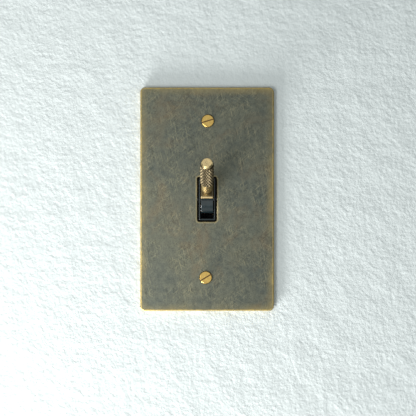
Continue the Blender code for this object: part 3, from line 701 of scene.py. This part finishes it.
def lever_grip():
    """One turned piece: neck, diamond knurl and a short polished cap."""
    knurled = evenly(KNURL_RADIUS, KNURL_TOP - KNURL_SHOULDER, KNURL_BOTTOM + KNURL_SHOULDER, 110)
    cap_edge, cap_foot, neck_edge = 0.0005, KNURL_TOP + 0.0006, 0.0005
    profile = [(0, CAP_TOP - 0.00008), (0.0006, CAP_TOP - 0.00006), (0.0010, CAP_TOP),
               (NECK_RADIUS - cap_edge, CAP_TOP), (NECK_RADIUS - 0.00008, CAP_TOP - cap_edge),
               (NECK_RADIUS, CAP_TOP - cap_edge - 0.00012), (NECK_RADIUS, cap_foot),
               (NECK_RADIUS - 0.00012, cap_foot - 0.0001), (NECK_RADIUS - 0.00012, cap_foot - 0.0003),
               (NECK_RADIUS + 0.0002, KNURL_TOP), *knurled, (NECK_RADIUS + 0.0002, KNURL_BOTTOM),
               (NECK_RADIUS, KNURL_BOTTOM - 0.0002),
               *arc(neck_edge, pi / 2, pi, 5, (NECK_RADIUS - neck_edge, GRIP_BOTTOM + neck_edge)),
               (GRIP_BORE[0], GRIP_BOTTOM), GRIP_BORE, (0, GRIP_BORE[1])]
    grip = turned("grip", profile, KNURL_STARTS * 10, knurl, LEVER)
    finished(grip, knurled_brass(), "lever", "lever_grip")


def lever_foot(material):
    """The square foot, with a wide chamfer round its face and a hole for the stud."""
    size, corner = (2 * BARREL_HALF_WIDTH, 2 * FOOT_HALF_LENGTH), 0.0004
    edge, chamfer, bore = 0.0001, 0.00030, 0.0018
    outer = ((edge, FOOT_BOTTOM), (0, FOOT_BOTTOM + edge), (0, FOOT_TOP - chamfer), (chamfer, FOOT_TOP))
    rings = [[(x, y, height) for x, _, y in frame_ring(size, corner, inset, 0)] for inset, height in outer]
    hole = circle(bore, steps=len(rings[0]))
    start = len(hole) // 8
    hole = hole[start:] + hole[:start]
    rings += [[(x, y, height) for x, y in hole] for height in (FOOT_TOP, FOOT_BOTTOM)]
    foot = add_mesh("foot", rings_to_mesh([ring[::-1] for ring in rings], closed=False), LEVER)
    finished(foot, material, "lever", "lever_base")


def rocker_barrel(material):
    """The black barrel behind the lever: a slab with a round face that dips before the lip at each end."""
    seat = atan2(FOOT_HALF_LENGTH, FOOT_SEAT) + radians(4)
    lip, hollow, depth = BARREL_HALF_ANGLE - radians(8), radians(26), 0.0003
    outline = []
    for side in (-1, 1):
        rim = arc(BARREL_RADIUS, BARREL_HALF_ANGLE, lip, 4)
        for i in range(1, 16):
            angle = lip - hollow * i / 16
            radius = BARREL_RADIUS - depth * sin(pi * i / 16) ** 2
            rim.append((radius * sin(angle), radius * cos(angle)))
        rim += arc(BARREL_RADIUS, lip - hollow, seat, 8)
        rim += [(FOOT_HALF_LENGTH, BARREL_RADIUS * cos(seat) - 0.0001), (FOOT_HALF_LENGTH, FOOT_SEAT)]
        rim = [(side * y, z) for y, z in rim]
        outline += rim if side < 0 else rim[::-1]
    outline += arc(HUB_RADIUS, BARREL_HALF_ANGLE, 2 * pi - BARREL_HALF_ANGLE, 20)
    barrel = flat_piece("rocker", [outline], 0.0002, 2 * BARREL_HALF_WIDTH,
                        sideways(-BARREL_HALF_WIDTH), LEVER)
    radius, top, end, chamfer = 0.0028, -0.0015, -0.0090, 0.0003
    profile = [(0, top), (radius, top), (radius, end + chamfer), (radius - chamfer, end), (0, end)]
    join(barrel, turned("stem", profile, 48, matrix=LEVER))
    holes = [rod("stem_bore", 0.0020, (0, 0, -0.0095), (0, 0, -0.0026)),
             rod("pin_hole", 0.00145, (-0.0040, 0, 0), (0.0040, 0, 0)),
             rod("stud_hole", 0.0018, (0, 0, 0.0042), (0, 0, 0.0100))]
    for hole in holes:
        hole.matrix_world = LEVER
    cut(barrel, *holes)
    finished(barrel, material, "lever", "toggle_rocker")


def front_shell(material):
    """The cover: its body, the collar that fills the plate's opening, and the ribs that stop the stem."""
    low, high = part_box("front_cover")
    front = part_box("mounting_strap")[0][Y] + STRAP_SHEET + GAP
    body_back = 0.0073
    body = box("front_shell", (low[X], front, low[Z]), (high[X], body_back, high[Z]), 0.0004, 2)
    step, top, corner = 0.0014, 0.00025, OPENING_CORNER - GAP
    outer = (OPENING[0] - 2 * GAP, OPENING[1] - 2 * GAP)
    ledge, lip, edge = 0.00060, 0.00110, 0.00012
    profile = [(0, front + OVER), (0, COLLAR_FRONT + step), (ledge, COLLAR_FRONT + step)]
    profile += [(ledge + edge - x, COLLAR_FRONT + edge - y) for x, y in arc(edge, pi / 2, 0, 4)]
    profile += [(lip - edge + x, COLLAR_FRONT + edge - y) for x, y in arc(edge, 0, pi / 2, 4)]
    profile.append((lip, COLLAR_FRONT + step))
    rings = [frame_ring(outer, corner, inset, depth) for inset, depth in profile]
    rings += [frame_ring(SLOT, SLOT_CORNER, 0, y) for y in (COLLAR_FRONT + step + top, front + OVER)]
    collar = add_mesh("collar", rings_to_mesh([ring[::-1] for ring in rings], closed=False))
    cutter = 0.0074
    cut(body, flat_piece("slot", [rounded_rectangle(*SLOT, SLOT_CORNER)], 0, cutter, facing(cutter)))
    join(body, collar)
    for side in (1, -1):
        z0, z1 = sorted((side * 0.0082, side * 0.0100))
        join(body, box("rib", (-0.0060, body_back - OVER, z0), (0.0060, 0.0115, z1), 0.0002, 2))
    reach, radius, pivot = 0.0075, 0.00145, LEVER.translation[Y]
    cut(body, rod("pin_seat", radius, (-reach, pivot, 0), (reach, pivot, 0)),
        box("pin_groove", (-reach, pivot, -radius), (reach, body_back + 0.0001, radius)))
    for x, z in rivet_places().values():
        cut(body, rod("rivet_hole", RIVET_HOLE, (x, front - OVER, z), (x, body_back + OVER, z), 40))
    finished(body, material, "base", "front_cover")


def strap_outline():
    band, ear, start, end = 0.01225, 0.01665, 0.0360, 0.0530
    corners = [(ear, start), (ear, end), (-ear, end), (-ear, start), (-band, start), (-band, -start),
               (-ear, -start), (-ear, -end), (ear, -end), (ear, -start), (band, -start), (band, start)]
    radii = [0.0006 if abs(x) == band else 0.0030 for x, _ in corners]
    return rounded(corners, radii)


def mounting_strap(material):
    """The stamped strap, with a slot in each ear, break-off scores and a tab bent back for the ground."""
    low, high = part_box("mounting_strap")
    front, sheet, edge = low[Y], STRAP_SHEET, 0.00012
    back, left = front + sheet, -0.01225
    openings = [rounded_rectangle(0.0125, 0.0260, OPENING_CORNER)]
    for side in (1, -1):
        openings.append(rounded_rectangle(0.0088, 0.0042, 0.0020, 8, (0, side * BOX_PITCH / 2)))
        openings.append(circle(0.0015, (0, side * 0.03015), 24))
    openings += [circle(RIVET_HOLE, place, 32) for place in rivet_places().values()]
    strap = flat_piece("strap", [strap_outline(), *openings], edge, sheet, facing(back))

    bend, inner_bend, reach = 0.0014, 0.0003, 0.0020
    near, far = low[Z] + 0.0180, low[Z] + 0.0246
    skim = 0.00003  # keeps the tab's faces off the strap's, for a clean union
    section = rounded(
        [(left + reach, front + skim), (left, front + skim), (left, high[Y]), (left + sheet, high[Y]),
         (left + sheet, back - skim), (left + reach, back - skim)], [0, bend, 0, 0, inner_bend, 0])
    relief = 0.0003
    cut(strap, box("tab_relief", (left - OVER, front - OVER, near - relief),
                   (left + reach - 0.0004, back + OVER, far + relief)))
    tab = flat_piece("ground_tab", [section], edge, far - near, move(0, 0, near))
    join(strap, tab)
    y, z = GROUND_SCREW
    cut(strap, rod("ground_hole", CLAMP_HOLE, (left - OVER, y, z), (left + sheet + OVER, y, z)))
    score = 0.00015
    for side in (1, -1):
        for x in (side * 0.0126, side * 0.0146):
            for end in (1, -1):
                z0, z1 = sorted((end * 0.0372, end * 0.0518))
                for y in (front, back):
                    cut(strap, box("score", (x - score, y - score, z0), (x + score, y + score, z1)))
    finished(strap, material, "base", "mounting_strap")


def rivet_places():
    """The (x, z) place of each rivet, by its node's name."""
    return {name: centre_of(name) for name in frame["nodes"] if name.startswith("case_rivet")}


def rivets(material):
    """Tubular rivets, domed in front and rolled over at the back."""
    head, radius, shank, bore = 0.0006, 0.0021, 0.00125, 0.0008
    for name, (x, z) in rivet_places().items():
        low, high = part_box(name)
        tail = head - (high[Y] - low[Y])
        roll = arc(0.0003, pi / 2, 3 * pi / 2, 8, (bore + 0.0005, tail + 0.0003))
        dome = [(across * radius, up * head) for across, up in ((0, 1), (0.5, 0.93), (0.8, 0.7), (0.96, 0.3))]
        profile = [*dome, (radius, 0.00008), (radius - 0.00008, 0), (shank, 0), (shank, tail + head), *roll,
                   (bore, tail + 0.0005), (bore, tail + 0.0030), (0, tail + 0.0034)]
        place = facing(low[Y] + head)
        place.translation += Vector((x, 0, z))
        finished(turned(f"{name}_formed", profile, 40, matrix=place), material, "base", name)


def retainers(material):
    """Red fibre squares that keep the cover screws from falling out."""
    for end in ("top", "bottom"):
        node = f"screw_retainer_{end}"
        low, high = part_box(node)
        centre, side = centre_of(node), high[X] - low[X]
        outer = rounded_rectangle(side, side, 0.0006, 4, centre)
        piece = flat_piece(f"{node}_cut", [outer, circle(0.0020, centre, 32)], 0.00008, high[Y] - low[Y],
                           facing(high[Y]))
        finished(piece, material, "base", node)


def housing(material):
    """The moulded box behind the cover, with its bosses, notches, keepers and the marks of its mould."""
    low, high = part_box("rear_housing")
    front, back, half_width, half_height = low[Y], high[Y], high[X], high[Z]
    side_wall = 0.0018
    floor, inner_width, inner_height = back - side_wall, half_width - side_wall, half_height - side_wall
    outline = rounded_rectangle(2 * half_width, 2 * half_height, 0.0015)
    shell = flat_piece("housing", [outline], 0.0004, back - front, facing(back))
    inner = (inner_width, floor, inner_height)
    cut(shell, box("hollow", (-inner_width, front - OVER, -inner_height), inner))
    places = rivet_places().values()
    boss, counterbore, sunk = 0.0030, 0.0024, 0.0011
    join(shell, *[rod("boss", boss, (x, front, z), (x, floor + OVER, z), 40) for x, z in places])
    for x, z in places:
        cut(shell, rod("rivet_hole", RIVET_HOLE, (x, front - OVER, z), (x, back + OVER, z), 40),
            rod("counterbore", counterbore, (x, back - sunk, z), (x, back + OVER, z), 40))
    near, far = WIRE_TAB
    for side in (1, -1):
        z0, z1 = sorted((side * (near - GAP), side * (far + GAP)))
        cut(shell, box("notch", (inner_width - OVER, front - OVER, z0), (half_width + OVER, floor, z1)))
    keeper, tongue, pin_back = 0.0042, 0.0069, LEVER.translation[Y] + PIN_RADIUS + GAP
    root, keeper_back, thickness = inner_width + OVER, 0.0105, 0.0022
    section = [(keeper, pin_back), (tongue, pin_back), (tongue, front), (root, front),
               (root, keeper_back), (keeper, keeper_back)]
    for side in (1, -1):
        join(shell, flat_piece("pin_keeper", [[(side * x, y) for x, y in section]], 0.0001, thickness,
                               move(0, 0, -thickness / 2)))
    join(shell, box("barrier", (-root, 0.0186, -0.0052), (root, floor + OVER, -0.0042)),
         box("stop_post", (-0.0025, 0.0189, 0.0072), (0.0025, floor + OVER, 0.0104)))

    panel, recess, half, groove_end = 0.0003, 0.00025, 0.0006, 0.0030
    cut(shell, flat_piece("back_panel", [rounded_rectangle(0.0140, 0.0300, 0.0012)], 0.0001, 2 * panel,
                          facing(back + panel)))
    for z in (-0.0085, 0.0085):
        cut(shell, rod("ejector", 0.0016, (0, back - panel - 0.00015, z), (0, back, z), 40))
    for z in (-0.0210, 0.0210):
        cut(shell, box("strip_gauge", (-0.0055, back - recess, z - half), (0.0055, back + OVER, z + half)))
    for step in range(-3, 4):
        z = 0.0045 * step
        cut(shell, box("side_groove", (-half_width - OVER, front + groove_end, z - half),
                       (recess - half_width, back - groove_end, z + half)))
    finished(shell, material, "base", "rear_housing")


def wire_tab(strip, side):
    """Joins the bent tab outside the housing to a terminal strip, with a hole for its screw."""
    out, sheet, back, front, root = 0.0143, STRIP_SHEET, STRIP_BACK, 0.0082, 0.0106
    low, high = sorted(side * z for z in WIRE_TAB)
    section = rounded([(root, back), (out, back), (out, front), (out - sheet, front),
                       (out - sheet, back - sheet), (root, back - sheet)], [0, 0.0013, 0, 0, 0.0003, 0])
    tab = flat_piece("tab", [section], 0.00012, high - low, move(0, 0, low))
    join(strip, tab)
    start, end = ((x, WIRE_Y, side * WIRE_Z) for x in (out - sheet - OVER, out + OVER))
    return cut(strip, rod("tab_hole", CLAMP_HOLE, start, end))


def terminals(material, silver):
    """Brass strips on the housing's floor: line with the fixed contact, load with the see-saw's fulcrum."""
    far = WIRE_TAB[1]
    back, sheet, right, bend = STRIP_BACK, STRIP_SHEET, 0.0110, 0.0004
    outline = [(-0.0036, -0.0062), (-0.0036, -far), (right, -far), (right, -0.0062)]
    line = flat_piece("line_strip", [rounded(outline, bend)], 0.0001, sheet, facing(back))
    finished(wire_tab(line, -1), material, "base", "line_terminal")

    left, up, inner = -0.0042, 0.0032, 0.0050
    outline = [(left, -up), (right, -up), (right, far), (inner, far), (inner, up), (left, up)]
    load = flat_piece("load_strip", [rounded(outline, bend)], 0.0001, sheet, facing(back))
    wire_tab(load, 1)
    base, ridge, half = back - sheet + OVER, 0.0186, 0.0030
    join(load, flat_piece("fulcrum", [[(base, -0.0012), (ridge, 0), (base, 0.0012)]], 0.00003, 2 * half,
                          sideways(-half)))
    for side in (1, -1):
        low, high = sorted((side * 0.0034, side * 0.0041))
        join(load, box("cheek", (low, 0.0160, -0.0025), (high, base, 0.0025), 0.0001, 2))
    finished(load, material, "base", "load_terminal")

    low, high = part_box("fixed_contact")
    place = move(0, high[Y], centre_of("fixed_contact")[1]) @ rotation(90, "X")
    finished(button("fixed_button", high[Z] - low[Z], high[Y] - low[Y], place), silver, "base",
             "fixed_contact")


def button(name, width, height, matrix):
    """A contact button along Z from its base, with a low crown."""
    radius, edge = width / 2, 0.00012
    profile = [(0, height), (0.6 * radius, height - 0.00003), (radius - edge, height - 0.00008),
               (radius, height - 0.00008 - edge), (radius, 0), (0, 0)]
    return turned(name, profile, 40, matrix=matrix)


def wire_clamps(plate_material, screw_material):
    """Pressure plates and screws of the side terminals."""
    for side, end in ((1, "load"), (-1, "line")):
        low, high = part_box(f"{end}_clamp_plate")
        centre, width = (WIRE_Y, side * WIRE_Z), high[Z] - low[Z]
        outline = rounded_rectangle(width, width, 0.0007, 5, centre)
        plate = flat_piece(f"{end}_pressure_plate", [outline, circle(CLAMP_HOLE, centre)],
                           0.00012, high[X] - low[X], sideways(low[X]))
        for y in (WIRE_Y - 0.0028, WIRE_Y + 0.0028):
            for name, radius, x in (("wire_groove", 0.00035, low[X]), ("outer_groove", 0.0002, high[X])):
                cut(plate, rod(name, radius, (x, y, low[Z] - OVER), (x, y, high[Z] + OVER), 16))
        finished(plate, plate_material, "base", f"{end}_clamp_plate")
        side_screw(f"{end}_terminal_screw", 90, screw_material)


def side_screw(node, turn, material):
    """A pan head screw that faces right (90) or left (-90)."""
    low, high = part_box(node)
    height = 0.0020
    radius, length = (high[Z] - low[Z]) / 2, high[X] - low[X] - height
    seat = high[X] - height if turn > 0 else low[X] + height
    place = move(seat, (low[Y] + high[Y]) / 2, centre_of(node)[1])
    matrix = place @ rotation(turn, "Y") @ rotation(24, "Z")
    screw = slotted_screw(f"{node}_cut", (radius, height), (0.0016, length), SCREW_PITCH,
                          (0.0009, 0.0009), matrix, material, pan=True)
    finished(screw, material, "base", node)


def inside_lever(steel, white):
    """Stud, pin and plunger."""
    low, high, radius, pitch, lead = 0.0045, 0.0170, 0.0015, 0.0005, 0.0003
    top, bottom = high - lead, low + lead
    thread = evenly(radius, top, bottom, int(8 * (high - low - 2 * lead) / pitch))
    profile = [(0, high), (0.8 * radius, high), *thread, (0.8 * radius, low), (0, low)]
    stud = turned("stud", profile, 32, screw_thread(radius, 0.0003, pitch, top, bottom), LEVER)
    finished(stud, steel, "lever", "lever_stud")

    reach, edge = 0.0072, 0.0002
    profile = [(0, reach), (PIN_RADIUS - edge, reach), (PIN_RADIUS, reach - edge)]
    profile += [(radius, -height) for radius, height in reversed(profile)]
    matrix = Matrix.Translation(LEVER.translation) @ rotation(90, "Y")
    finished(turned("pin", profile, 48, matrix=matrix), steel, "lever", "pivot_pin")

    outer, bore, nose = 0.0017, 0.00125, 0.0012
    tip = arc(nose, pi / 2, pi, 8, (0, -0.0120))
    rim, edge = -0.0050, 0.0001
    profile = [(0, -0.0095), (bore, -0.0095), (bore, rim - edge), (bore + edge, rim), (outer - edge, rim),
               (outer, rim - edge), (outer, -0.0108), (outer - 0.0002, -0.0110), (nose, -0.0115),
               *tip[:-1], (0, -0.0132)]
    finished(turned("plunger_cup", profile, 48, matrix=LEVER), white, "plunger", "plunger")


def spring(steel):
    """A round wire wound into a coil with closed ends."""
    radius, wire, turns, first, last = 0.0009, 0.00018, 6, 0.00308, 0.00902
    steps, sides = 24 * turns, 10
    around = [2 * pi * k / sides for k in range(sides)]
    rings = []
    for i in range(steps + 1):
        share = i / steps
        angle = 2 * pi * turns * share
        height = -first - (last - first) * share
        out = Vector((cos(angle), sin(angle), 0))
        section = [(radius + wire * cos(a), height + wire * sin(a)) for a in around]
        rings.append([across * out + Vector((0, 0, up)) for across, up in section])
    ends = [[sum(ring, Vector()) / sides] for ring in (rings[0], rings[-1])]
    coil = add_mesh("coil", rings_to_mesh([ends[0], *rings, ends[1]]), LEVER)
    finished(coil, steel, "lever", "plunger_spring")
    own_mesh(coil)


def stops(rubber, fibre):
    for end in ("upper", "lower"):
        node = f"stop_bumper_{end}"
        finished(box(f"{node}_moulded", *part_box(node), 0.0002), rubber, "base", node)
    node = "contact_stop_pad"
    finished(box("stop_pad", *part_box(node), 0.00012), fibre, "base", node)


def seesaw(copper, silver):
    """A copper strip bent to a cradle for the plunger, with the moving contact on its lower tab."""
    place = Matrix.Translation(joint("contact_rock")["pos_m"]) @ rotation(10, "X")
    centre, inner, sheet, tab_end, half = -0.0086, 0.0077, 0.0008, 0.0105, 0.0030
    reach = radians(50)
    front = arc(inner, pi / 2 - reach, pi / 2 + reach, 24, (centre, 0))
    y = front[0][0]
    crease = asin((y + sheet - centre) / (inner + sheet))
    back = arc(inner + sheet, pi - crease, crease, 24, (centre, 0))
    outline = [(y, tab_end), *front, (y, -tab_end), (y + sheet, -tab_end), *back, (y + sheet, tab_end)]
    strip = flat_piece("seesaw", [outline], 0.0001, 2 * half, sideways(-half), place)
    finished(strip, copper, "contact", "contact_rocker")
    width, height, contact_z = 0.0030, 0.0006, 0.0085
    matrix = place @ move(0, y + sheet + GAP, -contact_z) @ rotation(-90, "X")
    finished(button("moving_button", width, height, matrix), silver, "contact",
             "moving_contact")


# Stage

def wall():
    """A pale wall just behind the plate's back, open where the switch goes in, and seen only from the
    room. It fades out beyond the camera's view."""
    depth = 0.0002
    rings = [frame_ring(size, corner, inset, depth)
             for size, corner, inset in (((1.0, 1.0), 0.4, 0), (plate_size(), PLATE_CORNER, 0.0007))]
    panel = add_mesh("wall", rings_to_mesh(rings))
    f = Finish("wall_paint", roughness=0.85)
    rough_cast = f.noise(380, 4, 0.6)
    f.set("Base Color", f.mix(rough_cast, srgb(184, 190, 190), srgb(192, 198, 198)))
    f.bump((rough_cast, 0.0004), (f.noise(70, 3, 0.5), 0.0007))
    back = f.add("ShaderNodeNewGeometry").outputs["Backfacing"]
    x, _, z = f.xyz()
    distance = f.length(x, z)
    hidden = f.math("MAXIMUM", back, f.ramp(distance, 0.160, 0.195))
    clear = f.add("ShaderNodeBsdfTransparent").outputs[0]
    mixed = f.add("ShaderNodeMixShader", {0: hidden, 1: f.shader.outputs[0], 2: clear}).outputs[0]
    f.feed(f.tree.nodes["Material Output"].inputs["Surface"], mixed)
    panel.data.materials.append(f.material)


def lamp(name, place, aim, size, power, colour=(1, 1, 1)):
    light = bpy.data.lights.new(name, "AREA")
    light.shape = "RECTANGLE"
    light.size, light.size_y = size
    light.energy = power
    light.color = colour
    obj = bpy.data.objects.new(name, light)
    obj.location = place
    obj.rotation_mode = "QUATERNION"
    obj.rotation_quaternion = (Vector(aim) - Vector(place)).to_track_quat("-Z", "Y")
    bpy.context.scene.collection.objects.link(obj)


def room():
    """The light of a plain room, brightest in front of the wall and a little to its lower left."""
    world = bpy.data.worlds.new("room")
    world.use_nodes = True
    tree = world.node_tree
    place = tree.nodes.new("ShaderNodeTexCoord")
    towards = tree.nodes.new("ShaderNodeVectorMath")
    towards.operation = "DOT_PRODUCT"
    towards.inputs[1].default_value = Vector((-0.25, -0.90, -0.35)).normalized()
    ramp = tree.nodes.new("ShaderNodeMapRange")
    for name, value in (("From Min", 0.45), ("From Max", 0.95)):
        ramp.inputs[name].default_value = value
    mix = tree.nodes.new("ShaderNodeMix")
    mix.data_type = "RGBA"
    mix.inputs[6].default_value = srgb(82, 88, 89)
    mix.inputs[7].default_value = srgb(248, 255, 255)
    tree.links.new(place.outputs["Generated"], towards.inputs[0])
    tree.links.new(towards.outputs["Value"], ramp.inputs["Value"])
    tree.links.new(ramp.outputs[0], mix.inputs[0])
    tree.links.new(mix.outputs[2], tree.nodes["Background"].inputs["Color"])
    tree.nodes["Background"].inputs["Strength"].default_value = 1.15
    bpy.context.scene.world = world
    bpy.context.scene.view_settings.view_transform = "Standard"


def lights():
    """Soft light low on the left, near the wall and out in the room, a weak one above and two behind."""
    lamp("key", (-0.36, -0.10, -0.56), (0, -0.01, 0), (0.18, 0.36), 15.5, (1.0, 1.0, 0.985))
    lamp("window", (-0.24, -0.36, -0.09), (0, 0, 0), (0.16, 0.24), 1.1, (1.0, 0.995, 0.97))
    lamp("ceiling", (-0.05, -0.45, 0.66), (0, -0.03, 0.02), (0.4, 0.4), 0.42)
    lamp("back", (0.5, 0.9, 0.5), (0, 0.01, 0), (0.7, 0.7), 16.0)
    lamp("back_fill", (-0.8, 0.6, 0.1), (0, 0.01, 0), (0.7, 0.7), 9.0)


def camera():
    """Straight on, aimed a little below the middle of the plate. `width` is what it sees at the plate."""
    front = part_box("wall_plate")[0][Y]
    distance, width = 0.550, 0.2216
    aim = Vector((0.0005, front, -0.0047))
    seen = bpy.data.cameras.new("camera")
    seen.lens = seen.sensor_width / 2 / (width / 2 / distance)
    obj = bpy.data.objects.new("camera", seen)
    obj.location = aim - Vector((0, distance, 0))
    obj.rotation_mode = "QUATERNION"
    obj.rotation_quaternion = (aim - obj.location).to_track_quat("-Z", "Y")
    bpy.context.scene.collection.objects.link(obj)
    bpy.context.scene.camera = obj


brass = metal("polished_brass", (224, 200, 148), (172, 142, 92), 0.20, 0.35, lathe=True)
screw_brass = metal("screw_brass", (198, 164, 94), (150, 116, 60), 0.22, 0.5, lathe=True)
strip_brass = metal("strip_brass", (214, 180, 112), (146, 112, 60), 0.24, 0.7)
steel = metal("spring_steel", (176, 178, 180), (120, 116, 110), 0.20, lathe=True)
green = metal("green_steel", (58, 128, 78), (30, 78, 48), 0.24, lathe=True)
copper = metal("copper", (222, 146, 112), (132, 84, 66), 0.24, 0.7)
silver = metal("contact_silver", (226, 224, 216), (150, 146, 136), 0.20, 0.5, lathe=True)
plating = zinc()
slot_shade = painted_slot_shade()
fibre = dull("red_fibre", (146, 52, 40), (118, 40, 34), 0.72, 700, 0.00003, fibres=True)
nylon = dull("nylon", (206, 203, 192), (188, 184, 170), 0.42, 240, 0.000008)
rubber = dull("rubber", (24, 24, 25), (34, 33, 32), 0.72, 500, 0.00002)
# the cover's plastic is painted near black, as painted shade, behind the collar's front
cover_black = phenolic("cover_phenolic", (10, 24, 27), (16, 30, 33), 0.10, 0.00004,
                       painted_shade_from=COLLAR_FRONT + 0.00012)
black = phenolic("black_phenolic", (8, 17, 19), (14, 24, 27), 0.14, 0.00006)
case = phenolic("housing_phenolic", (52, 40, 34), (40, 33, 30), 0.38, 0.00010)

cover_plate()
cover_screws(screw_brass)
lever_grip()
lever_foot(foot_brass())
rocker_barrel(black)
front_shell(cover_black)
mounting_strap(plating)
rivets(plating)
retainers(fibre)
housing(case)
terminals(strip_brass, silver)
wire_clamps(plating, brass)
side_screw("ground_screw", -90, green)
inside_lever(steel, nylon)
spring(steel)
stops(rubber, fibre)
seesaw(copper, silver)
wall()
room()
lights()
camera()
